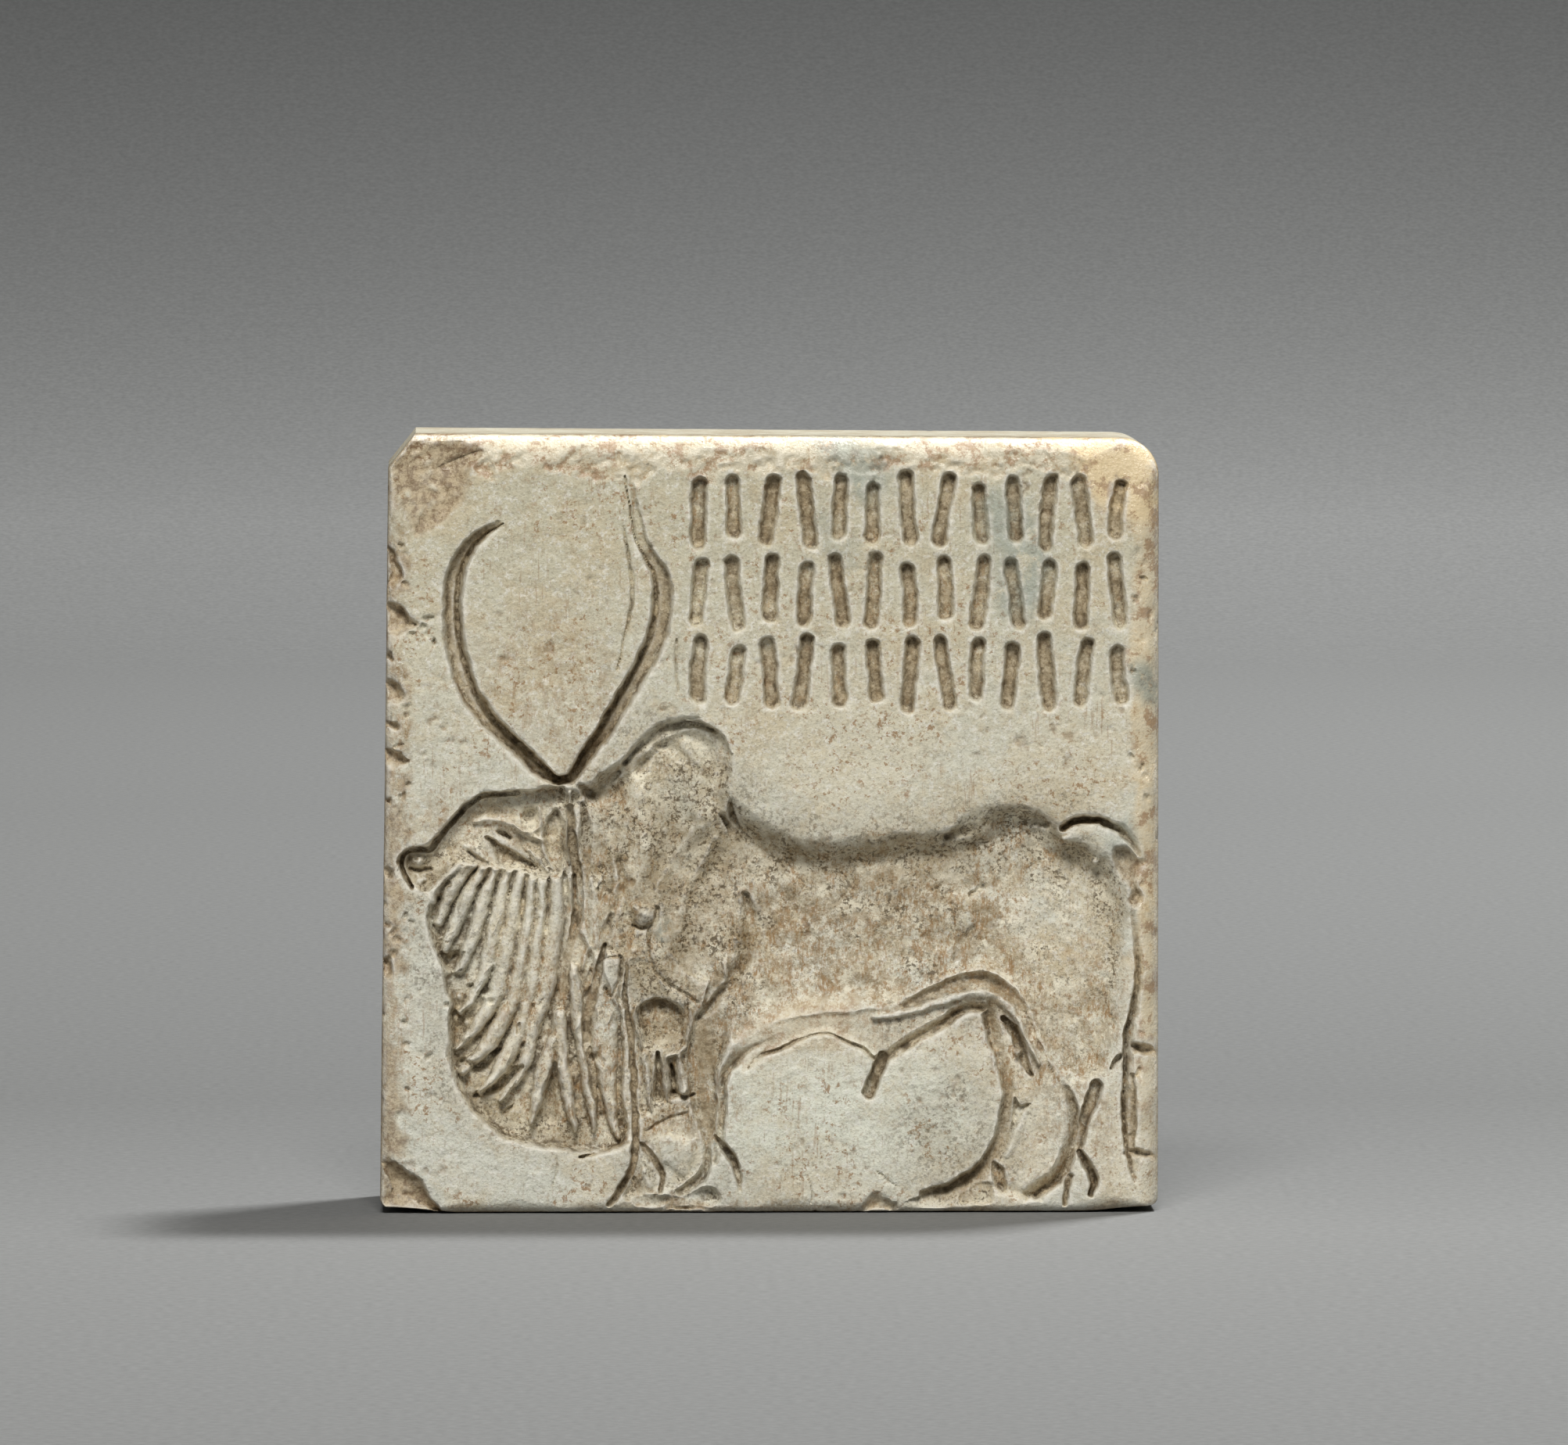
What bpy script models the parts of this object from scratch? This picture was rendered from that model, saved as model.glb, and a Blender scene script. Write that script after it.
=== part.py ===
"""Square stamp seal of carved soapstone, standing on its lower edge.

The sealing face looks along -Y, with a humped bull and rows of strokes sunk into it. The back carries a
domed boss, grooved over its crest and pierced from side to side for a cord. The whole seal is one stone.
Metres, +Z up, with the origin on the ground, in the middle of the seal's width and of its depth from the
face to the crest of the boss.
"""

import bmesh
import bpy
import numpy as np

# Sizes of the tile
FACE_WIDTH = 0.032
FACE_HEIGHT = 0.032
TILE_THICKNESS = 0.0095
BACK_EDGE_RADIUS = 0.0008
UPPER_RIGHT_RADIUS = 0.0016
UPPER_LEFT_CHAMFER = 0.0014
LOWER_CORNER_RADIUS = 0.0004
LEFT_SIDE_LEAN = 0.0004
TOP_EDGE_FALL = 0.0002
FOOT_END_LIFT = 0.0002
FOOT_FLAT_SHARE = 0.8
CHAMFER_SLOPE = 0.8

# Sizes of the boss on the back
BOSS_DIAMETER = 0.0165
BOSS_HEIGHT = 0.0072
BOSS_ROOT = 0.0004
CREST_GROOVE_WIDTH = 0.0024
CORD_HOLE_DIAMETER = 0.0028

# Planes of the sealing face and of the tile's back
FACE_Y = -(TILE_THICKNESS + BOSS_HEIGHT) / 2
BACK_Y = FACE_Y + TILE_THICKNESS

# Carving
CARVING_DEPTH = 0.0012
RUBBED_DOWN = 0.00008
SCRIPT_ROWS = 3
SCRIPT_STROKES = 13
DEWLAP_FOLDS = 10

# Fineness of the mesh
FACE_CELLS = 220
BACK_EDGE_STEPS = 3
BOSS_STEPS = 9
BOSS_TURN_STEPS = 32
GROOVE_STEPS = 7
CORD_HOLE_SIDES = 20
CUTTER_REACH = 1.5
TRIANGLES = 8600
UNFOLD_ROUNDS = 40
CURVE_STEPS = 5
MERGE_DISTANCE = 1e-7

# Colours, linear
STONE_COLOUR = (0.58, 0.54, 0.43, 1.0)
STONE_ROUGHNESS = 0.6

# The carving is laid out in thousandths of the face: x from the middle, z up from the lower edge. Its depths
# are shares of CARVING_DEPTH.
FACE = 1000.0
HALF_FACE = 500.0

# Band of the script: left, right, lower and upper edge
SCRIPT_BAND = (-118.0, 468.0, 644.0, 957.0)
STROKE_WIDTH = 19.0
STROKE_DEPTH = 0.42

# Width and depth of the wear along the edges of the face and round its upper right corner
WORN_TOP = (40.0, 0.8)
WORN_RIGHT = (32.0, 0.7)
WORN_LEFT = (22.0, 0.5)
WORN_FOOT = (20.0, 0.5)
WORN_CORNER = (120.0, 1.0)


def smooth_curve(points, closed=False):
    """Points of a smooth curve that passes through every given point"""
    p = np.asarray(points, float)
    if closed:
        p = np.vstack([p[-1], p, p[0], p[1]])
    else:
        p = np.vstack([2 * p[0] - p[1], p, 2 * p[-1] - p[-2]])
    curve = []
    for before, start, end, after in zip(p[:-3], p[1:-2], p[2:-1], p[3:]):
        for t in np.arange(CURVE_STEPS) / CURVE_STEPS:
            bend = (2 * before - 5 * start + 4 * end - after) * t ** 2
            twist = (3 * start - before - 3 * end + after) * t ** 3
            curve.append(0.5 * (2 * start + (end - before) * t + bend + twist))
    if not closed:
        curve.append(p[-2])
    return np.array(curve)


def ease(t):
    """Smooth step from 0 to 1"""
    t = np.clip(t, 0.0, 1.0)
    return t * t * (3.0 - 2.0 * t)


def spread(values, share):
    """Value at each share of a length, from values spaced evenly over it"""
    values = np.atleast_1d(np.asarray(values, float))
    return np.interp(share, np.linspace(0.0, 1.0, len(values)), values)


def nearest(x, z, line):
    """Distance and offset to the nearest place of a line, and how far along the line that place is"""
    lengths = np.hypot(*np.diff(line, axis=0).T)
    marks = np.concatenate([[0.0], np.cumsum(lengths)]) / lengths.sum()
    distance = np.full(x.shape, np.inf)
    right = np.zeros(x.shape)
    up = np.zeros(x.shape)
    along = np.zeros(x.shape)
    for a, b, start, end in zip(line[:-1], line[1:], marks[:-1], marks[1:]):
        way = b - a
        t = np.clip(((x - a[0]) * way[0] + (z - a[1]) * way[1]) / max(way @ way, 1e-9), 0.0, 1.0)
        to_right = a[0] + t * way[0] - x
        to_top = a[1] + t * way[1] - z
        gap = np.hypot(to_right, to_top)
        nearer = gap < distance
        distance = np.where(nearer, gap, distance)
        right = np.where(nearer, to_right, right)
        up = np.where(nearer, to_top, up)
        along = np.where(nearer, start + t * (end - start), along)
    return distance, right, up, along


def inside(x, z, ring):
    """True where a place lies within a closed line"""
    odd = np.zeros(x.shape, bool)
    for a, b in zip(ring, np.roll(ring, -1, axis=0)):
        if a[1] != b[1]:
            crosses = (a[1] > z) != (b[1] > z)
            odd ^= crosses & (x < a[0] + (z - a[1]) / (b[1] - a[1]) * (b[0] - a[0]))
    return odd


class Relief:
    """Depth of the carving over the face"""

    def __init__(self, cells):
        self.x = np.linspace(-HALF_FACE, HALF_FACE, cells + 1)
        self.z = np.linspace(0.0, FACE, cells + 1)
        self.depth = np.zeros((cells + 1, cells + 1))

    def window(self, points, margin):
        """The part of the face round some points"""
        low = np.min(points, axis=0) - margin
        high = np.max(points, axis=0) + margin
        columns = slice(*np.searchsorted(self.x, (low[0], high[0])))
        rows = slice(*np.searchsorted(self.z, (low[1], high[1])))
        x, z = np.meshgrid(self.x[columns], self.z[rows])
        return (rows, columns), x, z

    def cut(self, where, depth, deeper):
        """Takes a shape out of the face, or out of the carving so far where it goes deeper"""
        if deeper:
            self.depth[where] += depth
        else:
            self.depth[where] = np.maximum(self.depth[where], depth)

    def groove(self, points, widths, depths, floor=0.25, deeper=False):
        """Gouged line, with its widths and depths spaced evenly from start to end"""
        line = smooth_curve(points)
        where, x, z = self.window(line, np.max(widths))
        distance, _, _, along = nearest(x, z, line)
        reach = 2 * distance / spread(widths, along)
        self.cut(where, ease((1.0 - reach) / (1.0 - floor)) * spread(depths, along), deeper)

    def ridge(self, points, widths, height):
        """Line left standing in a hollow"""
        self.groove(points, widths, -height, floor=0.0, deeper=True)

    def fold(self, points, widths, depths):
        """Soft crease in a hollow"""
        self.groove(points, widths, depths, floor=0.0, deeper=True)

    def mound(self, x, z, across, height):
        """Small round left standing in a hollow"""
        self.ridge([(x - 0.5, z), (x + 0.5, z)], across, height)

    def hollow(self, outline, depths, walls, deeper=False):
        """Scooped area: depths at its bottom and top, widths of its top, right, bottom and left walls"""
        ring = smooth_curve(outline, closed=True)
        where, x, z = self.window(ring, 1.0)
        distance, right, up, _ = nearest(x, z, np.vstack([ring, ring[:1]]))
        size = np.maximum(distance, 1e-6)
        sides = (up / size, right / size, -up / size, -right / size)
        wall = sum(width * np.clip(side, 0.0, 1.0) ** 2 for width, side in zip(walls, sides))
        within = np.where(inside(x, z, ring), distance / np.maximum(wall, 1e-6), 0.0)
        height = (z - ring[:, 1].min()) / np.ptp(ring[:, 1])
        self.cut(where, np.sin(np.pi / 2 * np.clip(within, 0.0, 1.0)) * spread(depths, height), deeper)

    def fan(self, first, middle, last, count, width, depth):
        """Row of folds that spreads between three guide lines"""
        guides = np.array([first, middle, last], float)
        for share in np.linspace(0.0, 1.0, count):
            weights = ((1 - share) * (1 - 2 * share), 4 * share * (1 - share), share * (2 * share - 1))
            line = np.tensordot(weights, guides, 1)
            self.fold(line, (0.5 * width, width, width, 0.7 * width),
                      (0.5 * depth, depth, depth, 0.5 * depth))

    def rub(self, reach):
        """Softens the carving as handling does"""
        steps = int(round(reach / (self.x[1] - self.x[0])))
        kernel = np.ones(2 * steps + 1) / (2 * steps + 1)
        for axis in (0, 1):
            pads = [(steps, steps) if k == axis else (0, 0) for k in (0, 1)]
            padded = np.pad(self.depth, pads, mode="edge")
            self.depth = np.apply_along_axis(np.convolve, axis, padded, kernel, "valid")


def carve_body(face):
    """Trunk, shoulder, neck with its hump, chest and the upper legs, as broad smooth hollows"""
    trunk = [(-62, 532), (-24, 520), (30, 490), (110, 484), (190, 487), (252, 506), (316, 527),
             (361, 514), (416, 479), (456, 439), (466, 364), (466, 284), (452, 184), (405, 150),
             (350, 190), (316, 254), (271, 300), (216, 290), (156, 242), (86, 228), (16, 214),
             (-39, 190), (-70, 250), (-80, 404)]
    face.hollow(trunk, (0.35, 1.0), (20, 60, 70, 20))
    hind_leg = [(278, 264), (326, 300), (366, 260), (396, 154), (396, 104), (381, 54), (341, 22), (276, 24),
                (270, 54), (300, 114), (305, 157), (288, 205)]
    face.hollow(hind_leg, (0.35, 0.45), (30, 30, 20, 16))
    shoulder = [(-73, 525), (-96, 482), (-129, 424), (-162, 354), (-159, 329), (-134, 296), (-91, 262),
                (-40, 264), (-20, 314), (-12, 404), (-4, 454), (-20, 504)]
    face.hollow(shoulder, (0.45, 1.15), (30, 24, 36, 46))
    neck = [(-248, 546), (-214, 562), (-175, 605), (-139, 628), (-94, 636), (-59, 614), (-47, 584), (-55, 541),
            (-60, 499), (-105, 424), (-145, 354), (-160, 304), (-194, 300), (-240, 340), (-262, 374), (-260, 494)]
    face.hollow(neck, (0.42, 0.8), (22, 26, 30, 16))
    chest = [(-188, 330), (-154, 330), (-124, 290), (-94, 270), (-99, 224), (-104, 154), (-158, 116),
             (-176, 124), (-184, 164), (-187, 234)]
    face.hollow(chest, (0.45, 0.4), (30, 14, 20, 10))
    foreleg = [(-45, 300), (-90, 285), (-112, 214), (-109, 154), (-94, 100), (-80, 72), (-65, 100), (-63, 154),
               (-55, 194), (-28, 234), (-25, 290)]
    face.hollow(foreleg, (0.55, 0.6), (30, 16, 14, 14))


def carve_dewlap(face):
    """Hanging skin of the throat: a fan of folds over a deeper hem"""
    skin = [(-428, 430), (-444, 384), (-439, 344), (-422, 304), (-414, 204), (-407, 169), (-386, 135),
            (-331, 90), (-262, 76), (-214, 83), (-180, 92), (-186, 243), (-190, 314), (-220, 394), (-240, 454),
            (-284, 474), (-354, 470), (-400, 450)]
    face.hollow(skin, (0.6, 0.45), (20, 14, 22, 24))
    face.fan([(-408, 434), (-420, 405), (-437, 376)], [(-330, 438), (-352, 320), (-405, 195)],
             [(-262, 400), (-256, 240), (-225, 110)], DEWLAP_FOLDS, 22, 0.36)
    face.fold([(-400, 175), (-352, 122), (-290, 98), (-225, 100)], (10, 30, 36, 20), 0.25)
    face.fold([(-342, 206), (-366, 182), (-394, 162)], (8, 18, 14), 0.25)
    face.fold([(-318, 190), (-330, 170), (-348, 150)], (8, 16, 12), 0.2)
    face.fold([(-279, 188), (-281, 150), (-283, 128)], (6, 22, 34), 0.25)
    face.fold([(-440, 332), (-418, 323), (-396, 336)], (6, 14, 6), 0.3)
    face.ridge([(-430, 312), (-412, 314)], 15, 0.25)


def carve_head(face):
    """Head in profile, looking to the left"""
    skull = [(-276, 556), (-344, 547), (-379, 540), (-409, 521), (-431, 492), (-443, 472), (-476, 457),
             (-478, 440), (-454, 410), (-400, 415), (-334, 405), (-252, 410), (-248, 470), (-256, 530)]
    face.hollow(skull, (0.4, 0.6), (14, 16, 16, 16))
    muzzle = [(-477, 456), (-464, 466), (-439, 468), (-432, 454), (-439, 414), (-458, 409), (-470, 429)]
    face.hollow(muzzle, (0.7, 0.8), (8, 10, 8, 8))
    face.mound(-453, 452, 24, 0.35)
    face.mound(-452, 428, 28, 0.4)
    face.ridge([(-372, 503), (-343, 505), (-315, 483)], (10, 16, 8), 0.16)
    face.ridge([(-296, 520), (-296, 500), (-312, 491), (-330, 495)], (8, 12, 12, 8), 0.2)
    face.fold([(-312, 524), (-312, 508)], 18, 0.25)
    face.fold([(-350, 490), (-335, 481)], 14, 0.25)
    cheek = [(-366, 484), (-340, 467), (-316, 461), (-304, 443), (-329, 438), (-352, 444)]
    face.hollow(cheek, (0.3, 0.45), (7, 8, 16, 8), deeper=True)
    ear = [(-278, 522), (-265, 494), (-266, 454), (-276, 437), (-288, 464), (-291, 492)]
    face.hollow(ear, (0.15, 0.3), (8, 6, 12, 6), deeper=True)


def carve_horns(face):
    """Two long horns that curve up from the brow"""
    widths = (8, 24, 28, 28, 28)
    depths = (0.2, 0.4, 0.5, 0.5, 0.45)
    face.groove([(-352, 888), (-400, 852), (-417, 797), (-417, 754), (-404, 686), (-362, 624), (-279, 553)],
                widths, depths)
    face.groove([(-185, 947), (-171, 876), (-145, 821), (-144, 755), (-169, 693), (-204, 635), (-276, 552)],
                (6, 10, 22, 28, 28, 28), (0.1, 0.15, 0.35, 0.5, 0.5, 0.45))


def carve_creases(face):
    """Creases of the neck, of the shoulder and of the flank"""
    face.ridge([(-257, 539), (-258, 434)], 9, 0.3)
    face.fold([(-254, 444), (-252, 400), (-247, 360), (-232, 290)], (10, 16, 14, 8), 0.35)
    face.fold([(-218, 361), (-231, 304), (-236, 240), (-234, 205), (-225, 165)], (8, 14, 16, 14, 10), 0.35)
    face.mound(-162, 384, 26, 0.35)
    face.fold([(-157, 358), (-160, 325), (-148, 308), (-123, 288), (-97, 279)], (8, 10, 12, 10, 6), 0.18)
    face.fold([(-45, 393), (-36, 359), (-31, 329), (-36, 305)], (8, 14, 16, 10), 0.22)
    face.fold([(-48, 306), (-64, 279), (-82, 260)], (16, 20, 14), 0.28)
    face.fold([(215, 485), (234, 483)], 22, 0.25)
    face.ridge([(-24, 236), (21, 242), (57, 251), (92, 260), (128, 256)], (6, 12, 14, 12, 8), 0.1)
    face.fold([(-39, 187), (10, 212), (57, 228), (82, 229), (110, 215), (133, 199)], (6, 9, 9, 9), 0.12)
    face.fold([(170, 272), (205, 291), (241, 307), (268, 307), (325, 270)], (8, 22, 26, 22, 10), 0.2)
    face.groove([(146, 198), (170, 223), (212, 252), (259, 272), (277, 266)], (12, 22, 26, 18), 0.42)
    face.ridge([(140, 250), (187, 271), (232, 279), (268, 280)], (6, 10, 12, 10), 0.12)
    face.groove([(146, 199), (128, 157)], 20, 0.4, floor=0.5)


def carve_hind_legs(face):
    """Outlines of the hind legs and their hooves"""
    face.groove([(277, 263), (284, 223), (300, 170), (302, 130), (287, 88), (268, 59), (206, 19)],
                (16, 20, 20, 20, 20, 22, 16), 0.58)
    face.fold([(295, 248), (312, 245), (321, 220), (339, 177)], (10, 18, 18, 6), 0.3)
    face.mound(321, 206, 13, 0.25)
    hock = [(303, 147), (320, 146), (337, 140), (318, 120), (303, 102)]
    face.hollow(hock, (0.15, 0.25), (8, 8, 14, 8), deeper=True)
    fetlock = [(292, 62), (306, 46), (300, 22), (286, 39)]
    face.hollow(fetlock, (0.25, 0.4), (8, 8, 8, 8), deeper=True)
    face.groove([(392, 156), (393, 110), (380, 62), (352, 32), (336, 15)], (14, 20, 20, 24, 22), 0.65)
    face.groove([(416, 164), (405, 138), (392, 88)], (22, 18, 14), 0.45)
    face.groove([(399, 78), (412, 45), (410, 27)], (14, 16, 10), 0.35)


def carve_forelegs(face):
    """Outlines of the forelegs and their hooves, with the pocket between them"""
    face.groove([(-193, 318), (-186, 243), (-182, 172), (-183, 124), (-171, 75), (-178, 45), (-204, 13)],
                (10, 16, 20, 20, 20, 20, 16), 0.78)
    pocket = [(-166, 254), (-154, 271), (-139, 276), (-122, 270), (-113, 254), (-118, 224), (-134, 208),
              (-156, 210)]
    face.hollow(pocket, (0.15, 0.4), (8, 8, 20, 8), deeper=True)
    face.fold([(-144, 206), (-146, 147)], (4, 14), 0.35)
    face.fold([(-124, 193), (-125, 155)], (3, 11), 0.35)
    face.ridge([(-92, 226), (-89, 170), (-86, 110)], (5, 8, 5), 0.14)
    face.groove([(-72, 95), (-80, 65), (-96, 38), (-118, 24)], (14, 20, 26, 16), 0.6)
    face.groove([(-68, 95), (-43, 67), (-38, 28)], (10, 18, 10), 0.4)
    face.groove([(-163, 86), (-150, 70), (-138, 30)], (8, 16, 6), 0.45)


def carve_tail(face):
    """Tail, arched over the rump and hanging down behind the legs"""
    face.groove([(369, 496), (383, 512), (405, 517), (432, 510), (459, 488), (474, 460)],
                (8, 20, 22, 12), 1.05)
    face.ridge([(378, 490), (408, 496), (436, 478), (456, 462)], (8, 20, 18, 8), 0.45)
    root = [(372, 466), (388, 480), (404, 470), (400, 452), (384, 448)]
    face.hollow(root, (0.1, 0.2), (8, 8, 10, 8), deeper=True)
    face.groove([(462, 380), (468, 330), (466, 260), (456, 190), (456, 130), (467, 41)],
                (8, 10, 14, 20, 22, 6), (0.5, 0.5, 0.55, 0.6, 0.6, 0.2))


def carve_script(face):
    """Rows of plain strokes in the band above the bull's back"""
    left, right, bottom, top = SCRIPT_BAND
    across = (right - left) / SCRIPT_STROKES
    tall = (top - bottom) / SCRIPT_ROWS
    for row in range(SCRIPT_ROWS):
        for place in range(SCRIPT_STROKES):
            turn = 2.4 * place + 1.7 * row
            lean = 5 * np.sin(turn)
            half = tall * (0.34 + 0.05 * np.sin(1.9 * turn))
            x = left + (place + 0.5) * across + 2 * np.sin(3.1 * turn)
            z = bottom + (row + 0.5) * tall + 4 * np.cos(turn)
            face.groove([(x - lean, z - half), (x + lean, z + half)], STROKE_WIDTH, STROKE_DEPTH, floor=0.45)


def uneven(place):
    """Share that wanders a little either side of 1 along an edge"""
    return 1.0 + 0.25 * np.sin(place / 31.0) + 0.15 * np.sin(place / 13.0)


def wear_edges(face):
    """Rubbed edges of the face, widest along the top"""
    x, z = np.meshgrid(face.x, face.z)
    edges = ((FACE - z, x, WORN_TOP), (HALF_FACE - x, z, WORN_RIGHT), (HALF_FACE + x, z, WORN_LEFT),
             (z, x, WORN_FOOT), (np.hypot(HALF_FACE - x, FACE - z), x, WORN_CORNER))
    for gap, place, (band, drop) in edges:
        share = 1.0 - np.clip(gap / (band * uneven(place)), 0.0, 1.0)
        face.depth = np.maximum(face.depth, drop * (1.0 - np.sqrt(1.0 - share ** 2)))


def chip_edges(face):
    """Chips broken out of the edges long ago"""
    upper_left = [(-510, 1010), (-455, 1010), (-386, 990), (-386, 960), (-396, 914), (-434, 880), (-461, 865),
                  (-480, 887), (-510, 930)]
    face.hollow(upper_left, (0.2, 0.6), (60, 26, 16, 60))
    lower_left = [(-510, -8), (-506, 70), (-478, 66), (-440, 30), (-420, -8)]
    face.hollow(lower_left, (0.6, 0.3), (12, 14, 60, 60))
    foot = [(-165, -8), (-160, 20), (-110, 26), (-62, 20), (-58, -8)]
    face.hollow(foot, (0.4, 0.4), (8, 8, 40, 8))
    foot_notch = [(112, -8), (117, 24), (140, 30), (167, 20), (172, -8)]
    face.hollow(foot_notch, (0.4, 0.4), (6, 8, 40, 8))
    for middle, tall in ((201, 22), (70, 30)):
        notch = [(463, middle), (480, middle + tall / 2), (508, middle + tall / 2), (508, middle - tall / 2),
                 (480, middle - tall / 2)]
        face.hollow(notch, (0.4, 0.4), (8, 40, 8, 8))


def carved_face():
    """The whole carving of the face"""
    face = Relief(FACE_CELLS)
    carve_body(face)
    carve_dewlap(face)
    carve_head(face)
    carve_creases(face)
    carve_hind_legs(face)
    carve_forelegs(face)
    carve_tail(face)
    carve_horns(face)
    carve_script(face)
    wear_edges(face)
    chip_edges(face)
    face.rub(RUBBED_DOWN / FACE_WIDTH * FACE)
    return face


def round_corner(z, radius, corner):
    """How far a side gives way at the height z to a round corner at the given height"""
    over = np.clip(radius - np.abs(corner - z), 0.0, radius)
    return radius - np.sqrt(radius ** 2 - over ** 2)


def face_places(shares_x, shares_z):
    """Places on the face in metres, with the tile's leaning side, cut corner and round corners"""
    z = shares_z * (FACE_HEIGHT - TOP_EDGE_FALL * (0.5 + shares_x))
    end = (2 * np.abs(shares_x) - FOOT_FLAT_SHARE) / (1.0 - FOOT_FLAT_SHARE)
    z = z + FOOT_END_LIFT * ease(end) * (1.0 - shares_z)
    level = shares_z * FACE_HEIGHT
    left = -FACE_WIDTH / 2 + LEFT_SIDE_LEAN * shares_z
    left = left + round_corner(level, LOWER_CORNER_RADIUS, 0.0)
    left = left + CHAMFER_SLOPE * np.clip(level - FACE_HEIGHT + UPPER_LEFT_CHAMFER, 0.0, None)
    right = FACE_WIDTH / 2 - round_corner(level, LOWER_CORNER_RADIUS, 0.0)
    right = right - round_corner(level, UPPER_RIGHT_RADIUS, FACE_HEIGHT)
    return left + (right - left) * (shares_x + 0.5), z


def carved_tile():
    """The tile as one closed mesh: a grid whose middle is the carved face, with its outer rings folded back"""
    face = carved_face()
    turns = np.linspace(0.0, np.pi / 2, BACK_EDGE_STEPS + 1)
    cells = FACE_CELLS + 2 * len(turns)
    bm = bmesh.new()
    bmesh.ops.create_grid(bm, x_segments=cells, y_segments=cells, size=0.5)
    for vertex in bm.verts:
        column = round((vertex.co.x + 0.5) * cells) - len(turns)
        row = round((vertex.co.y + 0.5) * cells) - len(turns)
        ring = max(-column, column - FACE_CELLS, -row, row - FACE_CELLS)
        column = min(max(column, 0), FACE_CELLS)
        row = min(max(row, 0), FACE_CELLS)
        x, z = face_places(column / FACE_CELLS - 0.5, row / FACE_CELLS)
        y = FACE_Y + face.depth[row, column] * CARVING_DEPTH
        if ring > 0:
            turn = turns[ring - 1]
            inset = BACK_EDGE_RADIUS * (1.0 - np.cos(turn))
            x -= inset * x / (FACE_WIDTH / 2)
            z -= inset * (z - FACE_HEIGHT / 2) / (FACE_HEIGHT / 2)
            y = BACK_Y - BACK_EDGE_RADIUS * (1.0 - np.sin(turn))
        vertex.co = (x, y, z)
    bmesh.ops.remove_doubles(bm, verts=bm.verts, dist=MERGE_DISTANCE)
    rim = [edge for edge in bm.edges if edge.is_boundary]
    back = bmesh.ops.contextual_create(bm, geom=rim)["faces"]
    bmesh.ops.poke(bm, faces=back)
    mesh = bpy.data.meshes.new("stamp_seal")
    bm.to_mesh(mesh)
    bm.free()
    mesh.shade_smooth()
    return bpy.data.objects.new("stamp_seal", mesh)


def thin_out(seal):
    """Leaves the facets that the carving needs, and smooths away any that fold back under the face"""
    thin = seal.modifiers.new("fewer faces", "DECIMATE")
    thin.ratio = TRIANGLES / sum(len(polygon.vertices) - 2 for polygon in seal.data.polygons)
    whole = seal.data
    seal.data = bpy.data.meshes.new_from_object(seal.evaluated_get(bpy.context.evaluated_depsgraph_get()))
    seal.modifiers.remove(thin)
    bpy.data.meshes.remove(whole)
    bm = bmesh.new()
    bm.from_mesh(seal.data)
    for _ in range(UNFOLD_ROUNDS):
        deepest = FACE_Y + 2 * CARVING_DEPTH
        carved = [facet for facet in bm.faces if max(v.co.y for v in facet.verts) < deepest]
        folded = {v.index for facet in carved if facet.normal.y > 0.0 for v in facet.verts}
        if not folded:
            break
        bmesh.ops.smooth_vert(bm, verts=[v for v in bm.verts if v.index in folded], factor=0.5,
                              use_axis_x=True, use_axis_y=True, use_axis_z=True)
        bm.normal_update()
    bm.to_mesh(seal.data)
    bm.free()


def shaping_tool(tool, name, tools):
    """Keeps an object out of sight, as a tool for shaping the seal"""
    tool.name = name
    tool.hide_render = True
    tool.display_type = "WIRE"
    for owner in tool.users_collection:
        owner.objects.unlink(tool)
    tools.objects.link(tool)
    return tool


def shape_with(thing, tool, operation):
    """Joins a tool to a thing or cuts it out"""
    boolean = thing.modifiers.new(f"{operation.lower()} {tool.name}", "BOOLEAN")
    boolean.operation = operation
    boolean.object = tool


def boss_profile():
    """Half outline of the boss round its side-to-side axis, with the crest groove at its waist"""
    radius = BOSS_DIAMETER / 2
    groove = CREST_GROOVE_WIDTH / 2
    lip = 2 * np.arcsin(groove / (2 * radius))
    slope = np.linspace(0.0, np.pi / 2 - lip, BOSS_STEPS)
    shoulder = [(radius * np.sin(a), radius * np.cos(a)) for a in slope]
    reach = np.pi / 2 - lip / 2
    round_waist = np.linspace(reach, -reach, GROOVE_STEPS)[1:-1]
    waist = [(radius - groove * np.cos(a), groove * np.sin(a)) for a in round_waist]
    return shoulder + waist + [(out, -along) for out, along in reversed(shoulder)]


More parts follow.
